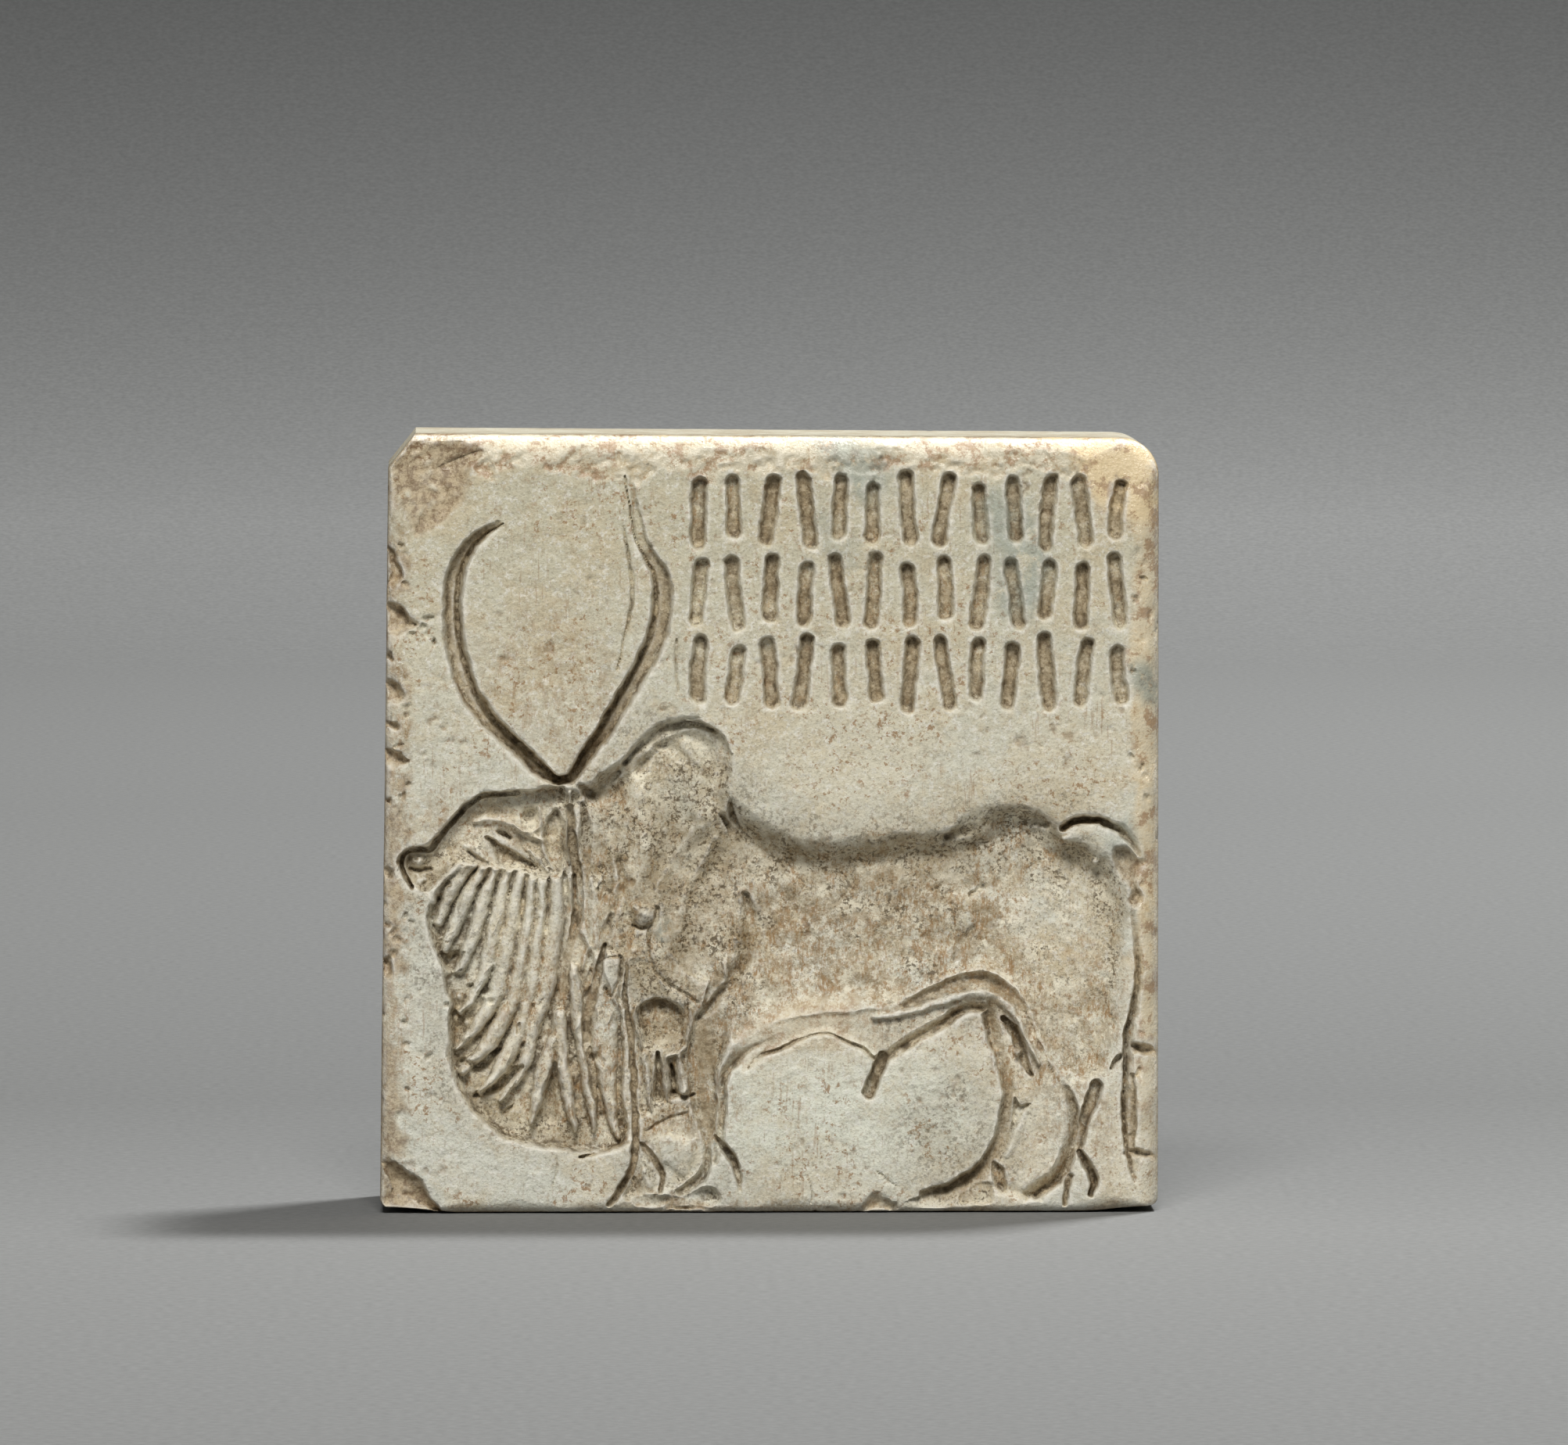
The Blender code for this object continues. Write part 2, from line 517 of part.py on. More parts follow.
def pierced_boss(tools):
    """Domed boss, turned with a groove over its crest and pierced for the cord from side to side"""
    profile = boss_profile()
    crest = max(out for out, _ in profile)
    places = [(out, 0.0, along) for out, along in profile]
    edges = [(k, k + 1) for k in range(len(profile) - 1)]
    mesh = bpy.data.meshes.new("boss")
    mesh.from_pydata(places, edges, [])
    boss = shaping_tool(bpy.data.objects.new("boss", mesh), "boss", tools)
    boss.location = (0.0, BACK_Y - BOSS_ROOT, FACE_HEIGHT / 2)
    boss.rotation_euler.y = np.pi / 2
    boss.scale.y = (BOSS_HEIGHT + BOSS_ROOT) / crest
    turn = boss.modifiers.new("turned", "SCREW")
    turn.steps = BOSS_TURN_STEPS
    turn.render_steps = BOSS_TURN_STEPS
    turn.use_merge_vertices = True
    turn.merge_threshold = MERGE_DISTANCE
    bpy.ops.mesh.primitive_cylinder_add(vertices=CORD_HOLE_SIDES, radius=CORD_HOLE_DIAMETER / 2,
                                        depth=CUTTER_REACH * BOSS_DIAMETER)
    hole = shaping_tool(bpy.context.object, "cord hole", tools)
    hole.location = (0.0, BACK_Y + (BOSS_HEIGHT - CREST_GROOVE_WIDTH / 2) / 2, FACE_HEIGHT / 2)
    hole.rotation_euler.y = np.pi / 2
    shape_with(boss, hole, "DIFFERENCE")
    return boss


def soapstone():
    """Pale fired soapstone"""
    material = bpy.data.materials.new("soapstone")
    material.use_nodes = True
    shader = material.node_tree.nodes["Principled BSDF"]
    shader.inputs["Base Color"].default_value = STONE_COLOUR
    shader.inputs["Roughness"].default_value = STONE_ROUGHNESS
    shader.inputs["Metallic"].default_value = 0.0
    return material


def build_seal():
    """The seal in its own collection, with the shaping tools in another"""
    for thing in list(bpy.data.objects):
        bpy.data.objects.remove(thing)
    parts = bpy.data.collections.new("Stamp seal")
    tools = bpy.data.collections.new("Shaping tools")
    bpy.context.scene.collection.children.link(parts)
    bpy.context.scene.collection.children.link(tools)
    seal = carved_tile()
    parts.objects.link(seal)
    thin_out(seal)
    seal.data.materials.append(soapstone())
    shape_with(seal, pierced_boss(tools), "UNION")


build_seal()
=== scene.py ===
"""Looks of a square stamp seal of carved soapstone, standing on its lower edge.

The seal is one stone. Its face is carved again here, finer than in the frame, with the marks of the tool
and of age: pits, scratches, chips, worn edges and dirt in the cuts. The stone's surface is then weathered
by a geometry node tree, and its finish is one procedural material, which also paints shade into the
recesses and shadowed parts of the carving and highlights onto its raised lips. Metres, +Z up, in the
frame's own places.
"""

import bpy
import numpy as np
from bpy.props import FloatProperty, FloatVectorProperty, IntProperty, PointerProperty
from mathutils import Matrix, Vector


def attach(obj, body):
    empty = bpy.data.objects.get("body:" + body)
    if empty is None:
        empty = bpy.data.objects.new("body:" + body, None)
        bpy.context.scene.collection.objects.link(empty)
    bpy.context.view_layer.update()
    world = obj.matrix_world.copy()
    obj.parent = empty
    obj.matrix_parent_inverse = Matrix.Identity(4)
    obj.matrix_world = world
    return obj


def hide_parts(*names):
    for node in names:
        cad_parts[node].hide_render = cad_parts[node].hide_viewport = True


bl_info = {
    "name": "Carved stamp seal",
    "version": (1, 0, 0),
    "blender": (4, 5, 0),
    "location": "View3D > Sidebar > Stamp seal",
    "description": "Carves and weathers a soapstone stamp seal round its frame, and lights it",
    "category": "Object",
}

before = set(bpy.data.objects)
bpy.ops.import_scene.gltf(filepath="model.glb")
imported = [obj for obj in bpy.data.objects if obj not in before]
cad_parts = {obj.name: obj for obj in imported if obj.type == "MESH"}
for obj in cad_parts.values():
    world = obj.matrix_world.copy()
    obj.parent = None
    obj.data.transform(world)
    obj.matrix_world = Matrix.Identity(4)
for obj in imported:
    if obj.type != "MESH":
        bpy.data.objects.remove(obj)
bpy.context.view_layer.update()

# Sizes of the tile, as in the frame
FACE_WIDTH = 0.032
FACE_HEIGHT = 0.032
TILE_THICKNESS = 0.0095
BACK_EDGE_RADIUS = 0.0008
UPPER_RIGHT_RADIUS = 0.0016
UPPER_LEFT_CHAMFER = 0.0014
LOWER_CORNER_RADIUS = 0.0004
LEFT_SIDE_LEAN = 0.0004
TOP_EDGE_FALL = 0.0002
FOOT_END_LIFT = 0.0002
FOOT_FLAT_SHARE = 0.8
CHAMFER_SLOPE = 0.8

# Sizes of the boss on the back, as in the frame
BOSS_DIAMETER = 0.0165
BOSS_HEIGHT = 0.0072
BOSS_ROOT = 0.0004
CREST_GROOVE_WIDTH = 0.0024
CORD_HOLE_DIAMETER = 0.0028
FACE_Y = -(TILE_THICKNESS + BOSS_HEIGHT) / 2
BACK_Y = FACE_Y + TILE_THICKNESS

# Carving
CARVING_DEPTH = 0.0012
RUBBED_SHARE = 0.25
SCRIPT_ROWS = 3
SCRIPT_STROKES = 13
SCRIPT_BAND = (-118.0, 468.0, 644.0, 957.0)
STROKE_WIDTH = 23.0
STROKE_DEPTH = 0.4
CURVE_STEPS = 6
NICKS = 90
FADE_STRETCH = 1.35
EDGE_PITS = 60

# The carving is laid out in thousandths of the face: x from the middle, z up from the lower edge. Its depths
# are shares of CARVING_DEPTH.
FACE = 1000.0
HALF_FACE = 500.0

# Width and depth of the wear along the edges of the face and round its upper right corner
WORN_TOP = (40.0, 0.8)
WORN_RIGHT = (42.0, 0.8)
WORN_LEFT = (22.0, 0.5)
WORN_FOOT = (20.0, 0.5)
WORN_CORNER = (120.0, 1.0)

# Where the polished bands and the flaked left edge begin, and how far the corner's polish reaches
TOP_POLISH_FROM = 948.0
RIGHT_POLISH_FROM = 456.0
LEFT_POLISH_TO = -478.0
LEFT_FLAKES_TO = -474.0
FOOT_CRUMBS_TO = 9.0
CORNER_POLISH = 112.0

# Lattice of the random fields, and its shift that keeps places positive
CLOUD_CELLS = 160
CLOUD_SHIFT = 400.0

# Fineness of the stone's mesh
FACE_CELLS = 700
SIDE_RINGS = 26
BACK_EDGE_STEPS = 5
BACK_RINGS = 30
BACK_RINGS_END = 0.32
BOSS_STEPS = 26
BOSS_TURN_STEPS = 96
GROOVE_STEPS = 17
CORD_HOLE_SIDES = 48
CUTTER_REACH = 1.5
MERGE_DISTANCE = 1e-7
SHARP_ANGLE = 55.0

# Gentle unevenness of the worked surface, and how far apart the flocks of pits lie
WAVE_SIZE = 0.004
WAVE_DEPTH = 0.00004
PIT_FLOCK_SPACING = 1 / 300

# Finish of the stone: refraction of talc, roughness, height of the finest grain, and the heights between
# which the coat turns warmer
STEATITE_IOR = 1.57
COAT_ROUGHNESS = 0.56
POLISH_ROUGHNESS = 0.14
GRAIN_HEIGHT = 0.0001
WARM_COAT_HEIGHTS = (0.012, 0.028)

# Marks that the mesh carries for the finish
STONE_MARKS = ("hollow", "soiled_and_shaded", "stained", "bluish", "pale", "polished_and_highlit", "amber", "broken", "tooled",
               "earth_and_shade", "pits", "grime_and_shade", "rubbed_and_highlit", "front")

# Further marks worked out from the hollow, each rising between two depths of the carving
HOLLOW_RANGES = (("dipped", 0.02, 0.3), ("carved", 0.1, 0.4), ("sunk", 0.1, 0.45))

# Finest grain of the surface, 0.13 and 0.5 mm wide
FINEST_GRAINS = ({"Scale": 1000.0 / 0.13, "Detail": 3.0, "Roughness": 0.6},
                 {"Scale": 1000.0 / 0.5, "Detail": 6.0, "Roughness": 0.72})

# The photograph's frame and the seal's place in it, in its pixels
PHOTO_WIDTH = 2005
PHOTO_HEIGHT = 1848
SEAL_MIDDLE_PIXEL = 984
SEAL_FOOT_PIXEL = 1554
SEAL_WIDTH_PIXELS = 1000

# Sheet of paper under and behind the seal: where it ends in front, where it starts to rise, and its rise
SHEET_FRONT = -1.2
SHEET_FLAT_TO = 0.45
SHEET_RADIUS = 0.35
SHEET_RISE = 0.4
SHEET_HALF_WIDTH = 1.2
SHEET_BEND_STEPS = 32
SHEET_ROUGHNESS = 0.9

# Width of the paper's fibres in millimetres
PAPER_FIBRE = 0.4

# Tones of the paper from the front to the top of its rise, where they lie, and the depths they run between.
# They
# hold painted light and shade: lighter towards the foot of the rise, dark where the paper rises
FLOOR_TONES_AND_SHADE = ("#6E6F6E", "#787978", "#6C6D6C", "#828382", "#A2A3A2", "#848584", "#525352")
FLOOR_STOPS = (0.11, 0.2, 0.5, 0.82, 0.9)
FLOOR_DEPTHS = (-0.1, 0.66)

# Lights: place, aim, size and colour
KEY_LIGHT = ((-0.035, -0.415, 0.455), (0.0, FACE_Y, 0.014), (0.18, 0.18), (1.0, 0.985, 0.96))
TOP_LIGHT = ((0.16, 0.175, 0.57), (0.0, 0.0, 0.0), (0.085, 0.085), (1.0, 1.0, 1.0))

# Areas of the face, as lines with a width and a share: dark with grime and painted shadow (under the back
# line, down the shoulder, round the hump, in the crevices), stained brown, bluish grey, whiter
SOILED_AND_SHADED = (([(-62, 522), (0, 486), (100, 466), (200, 474), (300, 500), (372, 496)], 84, 0.9),
          ([(-158, 262), (-138, 240), (-122, 262)], 44, 1.0),
          ([(-30, 400), (-30, 340), (-66, 280), (-76, 200)], 40, 0.7),
          ([(60, 420), (120, 400), (180, 420)], 90, 0.5),
          ([(-74, 512), (-104, 450), (-128, 396), (-152, 330)], 96, 1.0),
          ([(-236, 544), (-224, 510), (-230, 460)], 70, 1.0),
          ([(-214, 600), (-176, 610), (-150, 628)], 34, 0.7),
          ([(-428, 410), (-430, 340), (-416, 260), (-404, 190)], 60, 0.8),
          ([(-392, 140), (-330, 104), (-250, 88)], 36, 0.6),
          ([(-150, 180), (-120, 158)], 60, 0.7),
          ([(-166, 50), (-100, 18), (-44, 48)], 50, 0.6),
          ([(380, 470), (430, 440), (452, 400)], 60, 0.8),
          ([(200, 30), (290, 60), (300, 130)], 44, 0.5),
          ([(250, 130), (206, 96), (236, 60)], 84, 1.0),
          ([(-340, 468), (-300, 456)], 30, 0.7),
          ([(-472, 456), (-460, 438), (-452, 412)], 36, 0.9),
          ([(300, 250), (200, 270), (160, 250)], 34, 0.5))
STAINED = (([(30, 400), (120, 380), (230, 350)], 130, 1.0),
           ([(100, 360), (130, 320), (110, 300)], 110, 1.0),
           ([(-36, 420), (-30, 340), (-64, 280), (-76, 120)], 44, 1.0),
           ([(-150, 250), (-130, 250)], 40, 0.8),
           ([(160, 300), (260, 300), (320, 250)], 70, 0.7),
           ([(-40, 300), (-80, 230), (-84, 110)], 60, 0.9),
           ([(330, 240), (380, 180), (400, 90)], 70, 0.6),
           ([(-160, 470), (-120, 380), (-100, 300)], 90, 0.5),
           ([(-30, 430), (-26, 340), (-30, 250)], 60, 0.6),
           ([(-410, 500), (-360, 470)], 70, 0.5),
           ([(-300, 700), (-260, 660)], 120, 0.5),
           ([(440, 300), (440, 120)], 60, 0.4),
           ([(-494, 880), (-490, 700), (-488, 560)], 26, 1.0),
           ([(-486, 560), (-484, 400), (-488, 140)], 30, 0.7),
           ([(492, 620), (486, 300)], 24, 0.8),
           ([(-160, 6), (0, 8), (140, 8)], 14, 0.7))
BLUISH = (([(86, 984), (126, 944)], 44, 0.7), ([(300, 900), (320, 850), (310, 800)], 56, 0.7),
          ([(478, 696), (490, 668)], 26, 0.8), ([(450, 490), (458, 466)], 26, 0.6),
          ([(-150, 366), (-140, 372)], 20, 0.6), ([(70, 880), (90, 850)], 40, 0.4))
PALE = (([(-10, 120), (100, 120), (210, 130)], 110, 1.0),)

SEED = 7


def smooth_curve(points, closed=False):
    """Points of a smooth curve that passes through every given point"""
    p = np.asarray(points, float)
    if closed:
        p = np.vstack([p[-1], p, p[0], p[1]])
    else:
        p = np.vstack([2 * p[0] - p[1], p, 2 * p[-1] - p[-2]])
    curve = []
    for before, start, end, after in zip(p[:-3], p[1:-2], p[2:-1], p[3:]):
        for t in np.arange(CURVE_STEPS) / CURVE_STEPS:
            bend = (2 * before - 5 * start + 4 * end - after) * t ** 2
            twist = (3 * start - before - 3 * end + after) * t ** 3
            curve.append(0.5 * (2 * start + (end - before) * t + bend + twist))
    if not closed:
        curve.append(p[-2])
    return np.array(curve)


def ease(t):
    """Smooth step from 0 to 1"""
    t = np.clip(t, 0.0, 1.0)
    return t * t * (3.0 - 2.0 * t)


def spread(values, share):
    """Value at each share of a length, from values spaced evenly over it"""
    values = np.atleast_1d(np.asarray(values, float))
    return np.interp(share, np.linspace(0.0, 1.0, len(values)), values)


def cloud(x, z, size, seed):
    """Soft random field between 0 and 1 whose spots are about as wide as the given size"""
    lattice = np.random.default_rng(seed).random((CLOUD_CELLS, CLOUD_CELLS))
    turn = 0.6 + seed
    u = (x * np.cos(turn) - z * np.sin(turn)) / size + CLOUD_SHIFT
    v = (x * np.sin(turn) + z * np.cos(turn)) / size + CLOUD_SHIFT
    column = np.floor(u).astype(int)
    row = np.floor(v).astype(int)
    du = ease(u - column)
    dv = ease(v - row)
    left, right = column % CLOUD_CELLS, (column + 1) % CLOUD_CELLS
    low, high = row % CLOUD_CELLS, (row + 1) % CLOUD_CELLS
    lower = lattice[low, left] * (1 - du) + lattice[low, right] * du
    upper = lattice[high, left] * (1 - du) + lattice[high, right] * du
    return lower * (1 - dv) + upper * dv


def nearest(x, z, line):
    """Distance and offset to the nearest place of a line, how far along it that is, and which side of it"""
    lengths = np.hypot(*np.diff(line, axis=0).T)
    marks = np.concatenate([[0.0], np.cumsum(lengths)]) / lengths.sum()
    distance = np.full(x.shape, np.inf)
    right = np.zeros(x.shape)
    up = np.zeros(x.shape)
    along = np.zeros(x.shape)
    left = np.zeros(x.shape, bool)
    for a, b, start, end in zip(line[:-1], line[1:], marks[:-1], marks[1:]):
        way = b - a
        t = np.clip(((x - a[0]) * way[0] + (z - a[1]) * way[1]) / max(way @ way, 1e-9), 0.0, 1.0)
        to_right = a[0] + t * way[0] - x
        to_top = a[1] + t * way[1] - z
        gap = np.hypot(to_right, to_top)
        nearer = gap < distance
        distance = np.where(nearer, gap, distance)
        right = np.where(nearer, to_right, right)
        up = np.where(nearer, to_top, up)
        along = np.where(nearer, start + t * (end - start), along)
        left = np.where(nearer, way[1] * to_right > way[0] * to_top, left)
    return distance, right, up, along, left


def inside(x, z, ring):
    """True where a place lies within a closed line"""
    odd = np.zeros(x.shape, bool)
    for a, b in zip(ring, np.roll(ring, -1, axis=0)):
        if a[1] != b[1]:
            crosses = (a[1] > z) != (b[1] > z)
            odd ^= crosses & (x < a[0] + (z - a[1]) / (b[1] - a[1]) * (b[0] - a[0]))
    return odd


def blurred(values, steps):
    """Values averaged over a square of places"""
    kernel = np.ones(2 * steps + 1) / (2 * steps + 1)
    for axis in (0, 1):
        pads = [(steps, steps) if k == axis else (0, 0) for k in (0, 1)]
        padded = np.pad(values, pads, mode="edge")
        values = np.apply_along_axis(np.convolve, axis, padded, kernel, "valid")
    return values


class Relief:
    """Depth of the carving over the face, and where the stone is broken"""

    def __init__(self, cells):
        across = np.linspace(-HALF_FACE, HALF_FACE, cells + 1)
        self.x, self.z = np.meshgrid(across, np.linspace(0.0, FACE, cells + 1))
        self.step = FACE / cells
        self.depth = np.zeros(self.x.shape)
        self.broken = np.zeros(self.x.shape)
        self.tooled = np.zeros(self.x.shape)
        self.wander_x = self.wander(1)
        self.wander_z = self.wander(5)

    def wander(self, seed):
        """How far a hand-cut line strays from its course"""
        strays = ((70.0, 5.0), (24.0, 3.0), (9.0, 2.0), (5.0, 1.0))
        return sum(reach * (cloud(self.x, self.z, size, SEED + seed + k) - 0.5)
                   for k, (size, reach) in enumerate(strays))

    def window(self, points, margin):
        """The part of the face round some points, with the hand's wander in it"""
        low = np.min(points, axis=0) - margin
        high = np.max(points, axis=0) + margin
        columns = slice(*np.searchsorted(self.x[0], (low[0], high[0])))
        rows = slice(*np.searchsorted(self.z[:, 0], (low[1], high[1])))
        where = (rows, columns)
        return where, self.x[where] + self.wander_x[where], self.z[where] + self.wander_z[where]

    def cut(self, where, depth, deeper):
        """Takes a shape out of the face, or out of the carving so far where it goes deeper"""
        if deeper:
            self.depth[where] += depth
        else:
            self.depth[where] = np.maximum(self.depth[where], depth)

    def groove(self, points, widths, depths, floor=0.25, deeper=False):
        """Gouged line, with its widths and depths spaced evenly from start to end"""
        line = smooth_curve(points)
        where, x, z = self.window(line, np.max(widths))
        distance, _, _, along, _ = nearest(x, z, line)
        reach = 2 * distance / spread(widths, along)
        shape = ease((1.0 - reach) / (1.0 - floor))
        self.cut(where, shape * spread(depths, along), deeper)
        if not deeper:
            bare = shape * np.clip(4 * spread(depths, along), 0.0, 1.0)
            self.tooled[where] = np.maximum(self.tooled[where], bare)

    def ridge(self, points, widths, height):
        """Line left standing in a hollow"""
        self.groove(points, widths, -height, floor=0.0, deeper=True)

    def fold(self, points, widths, depths):
        """Soft crease in a hollow"""
        self.groove(points, widths, depths, floor=0.0, deeper=True)

    def scoop(self, points, left, right, depths):
        """Cut whose walls, left and right of its course, have their own widths; the wider one fades out"""
        line = smooth_curve(points)
        where, x, z = self.window(line, FADE_STRETCH * max(left, right))
        distance, _, _, along, on_left = nearest(x, z, line)
        reach = np.clip(distance / np.where(on_left, left, FADE_STRETCH * right), 0.0, 1.0)
        if left > right:
            reach = np.clip(distance / np.where(on_left, FADE_STRETCH * left, right), 0.0, 1.0)
        fading = on_left == (left > right)
        shape = np.where(fading, (1.0 - reach) ** 1.6, 1.0 - reach ** 2)
        self.cut(where, shape * spread(depths, along), False)
        self.tooled[where] = np.maximum(self.tooled[where], 0.8 * ease(2.4 * shape - 1.2))

    def roll(self, points, widths, height, floor):
        """Round roll left standing over the floor of a hollow; rolls side by side meet in a thin groove"""
        line = smooth_curve(points)
        where, x, z = self.window(line, np.max(widths))
        distance, _, _, along, _ = nearest(x, z, line)
        reach = np.clip(2 * distance / spread(widths, along), 0.0, 1.0)
        top = floor[where] - height * np.sqrt(1.0 - reach ** 2)
        self.depth[where] = np.minimum(self.depth[where], top)

    def area(self, strokes):
        """Soft share over the face from lines with a width and a share"""
        share = np.zeros(self.x.shape)
        for points, width, strength in strokes:
            line = smooth_curve(points)
            where, x, z = self.window(line, width)
            distance = nearest(x + 2 * self.wander_x[where], z + 2 * self.wander_z[where], line)[0]
            share[where] = np.maximum(share[where], strength * ease(1.4 - 1.4 * distance / width))
        return share

    def mound(self, x, z, across, height):
        """Small round left standing in a hollow"""
        self.ridge([(x - 0.5, z), (x + 0.5, z)], across, height)

    def hollow(self, outline, depths, walls, deeper=False, round_lip=False, stray=0.0):
        """Scooped area: depths at its bottom and top, widths of its top, right, bottom and left walls"""
        ring = smooth_curve(outline, closed=True)
        where, x, z = self.window(ring, 5.0 + 4.0 * stray)
        x = x + stray * self.wander_z[where]
        z = z + stray * self.wander_x[where]
        distance, right, up, _, _ = nearest(x, z, np.vstack([ring, ring[:1]]))
        size = np.maximum(distance, 1e-6)
        sides = (up / size, right / size, -up / size, -right / size)
        wall = sum(width * np.clip(side, 0.0, 1.0) ** 2 for width, side in zip(walls, sides))
        within = np.where(inside(x, z, ring), distance / np.maximum(wall, 1e-6), 0.0)
        height = (z - ring[:, 1].min()) / np.ptp(ring[:, 1])
        shape = ease(within) if round_lip else np.sin(np.pi / 2 * np.clip(within, 0.0, 1.0))
        self.cut(where, shape * spread(depths, height), deeper)
        return where, shape

    def chip(self, outline, depths, walls, bare=1.0):
        """Break in the stone, with a rough floor that shows the bare body to a given share"""
        where, shape = self.hollow(outline, depths, walls, stray=1.5)
        x = self.x[where]
        z = self.z[where]
        rough = cloud(x, z, 22.0, SEED + 31) + 0.6 * cloud(x, z, 9.0, SEED + 32) - 0.8
        self.depth[where] += 0.16 * shape * rough
        self.broken[where] = np.maximum(self.broken[where], bare * ease(3.0 * shape * (0.7 + rough)))


def carve_body(face):
    """Trunk, shoulder, neck with its hump, chest and the upper legs, as broad smooth hollows"""
    front = [(-472, 458), (-456, 468), (-434, 482), (-404, 517), (-374, 537), (-324, 542), (-284, 548),
             (-248, 546), (-214, 569), (-175, 601), (-144, 623), (-103, 637), (-69, 624), (-51, 599),
             (-50, 564), (-54, 534), (-32, 434), (-22, 324), (-39, 254), (-59, 184), (-67, 114), (-72, 64),
             (-112, 28), (-134, 24), (-184, 19), (-178, 54), (-176, 88), (-238, 77), (-283, 81), (-331, 91),
             (-359, 108), (-386, 136), (-407, 180), (-417, 206), (-412, 254), (-424, 314), (-439, 354),
             (-443, 389), (-436, 418), (-466, 418)]
    face.hollow(front, (0.42, 0.46), (16, 20, 12, 10))
    trunk = [(-62, 532), (-24, 519), (3, 502), (30, 489), (83, 485), (137, 489), (207, 498), (261, 509),
             (297, 523), (332, 529), (359, 520), (388, 492), (426, 476), (458, 444), (468, 374), (468, 294),
             (456, 204), (426, 154), (386, 150), (350, 190), (320, 254), (278, 288), (231, 276), (166, 252),
             (106, 248), (57, 242), (16, 232), (-29, 210), (-59, 224), (-70, 304), (-80, 404)]
    face.hollow(trunk, (0.5, 1.0), (42, 46, 44, 20), round_lip=True)
    face.fold([(226, 486), (262, 502), (300, 509), (334, 509), (352, 500)], (16, 40, 50, 40, 14), 0.3)
    belly = [(-39, 182), (10, 211), (57, 227), (82, 228), (110, 214), (136, 197), (170, 221), (223, 253),
             (278, 264), (316, 264), (306, 292), (216, 292), (116, 264), (-24, 244)]
    face.hollow(belly, (0.18, 0.24), (10, 6, 10, 10))
    thigh = [(278, 264), (316, 292), (366, 264), (416, 214), (428, 154), (408, 134), (390, 84), (366, 42),
             (338, 20), (278, 18), (241, 26), (272, 59), (292, 96), (304, 154), (286, 219)]
    face.hollow(thigh, (0.12, 0.4), (30, 20, 20, 10), round_lip=True)
    shoulder = [(-73, 525), (-96, 482), (-129, 424), (-160, 364), (-159, 329), (-134, 298), (-91, 276),
                (-44, 278), (-24, 314), (-12, 404), (1, 464), (-22, 508)]
    face.hollow(shoulder, (0.6, 1.15), (30, 44, 30, 54), round_lip=True)
    neck = [(-248, 546), (-214, 564), (-175, 597), (-144, 622), (-103, 637), (-69, 625), (-50, 601),
            (-50, 569), (-59, 534), (-79, 492), (-109, 444), (-139, 394), (-158, 334), (-169, 264),
            (-184, 254), (-209, 254), (-249, 354), (-260, 454)]
    face.hollow(neck, (0.55, 0.68), (30, 34, 30, 16), round_lip=True)
    chest = [(-188, 330), (-154, 330), (-124, 290), (-94, 270), (-99, 224), (-104, 154), (-158, 114),
             (-176, 124), (-184, 164), (-187, 234)]
    face.hollow(chest, (0.55, 0.5), (20, 14, 20, 8))
    foreleg = [(-34, 324), (-24, 292), (-39, 244), (-59, 199), (-67, 154), (-67, 104), (-76, 72), (-88, 84),
               (-100, 114), (-112, 154), (-112, 214), (-100, 258), (-69, 292)]
    face.hollow(foreleg, (0.7, 0.75), (20, 14, 12, 12))


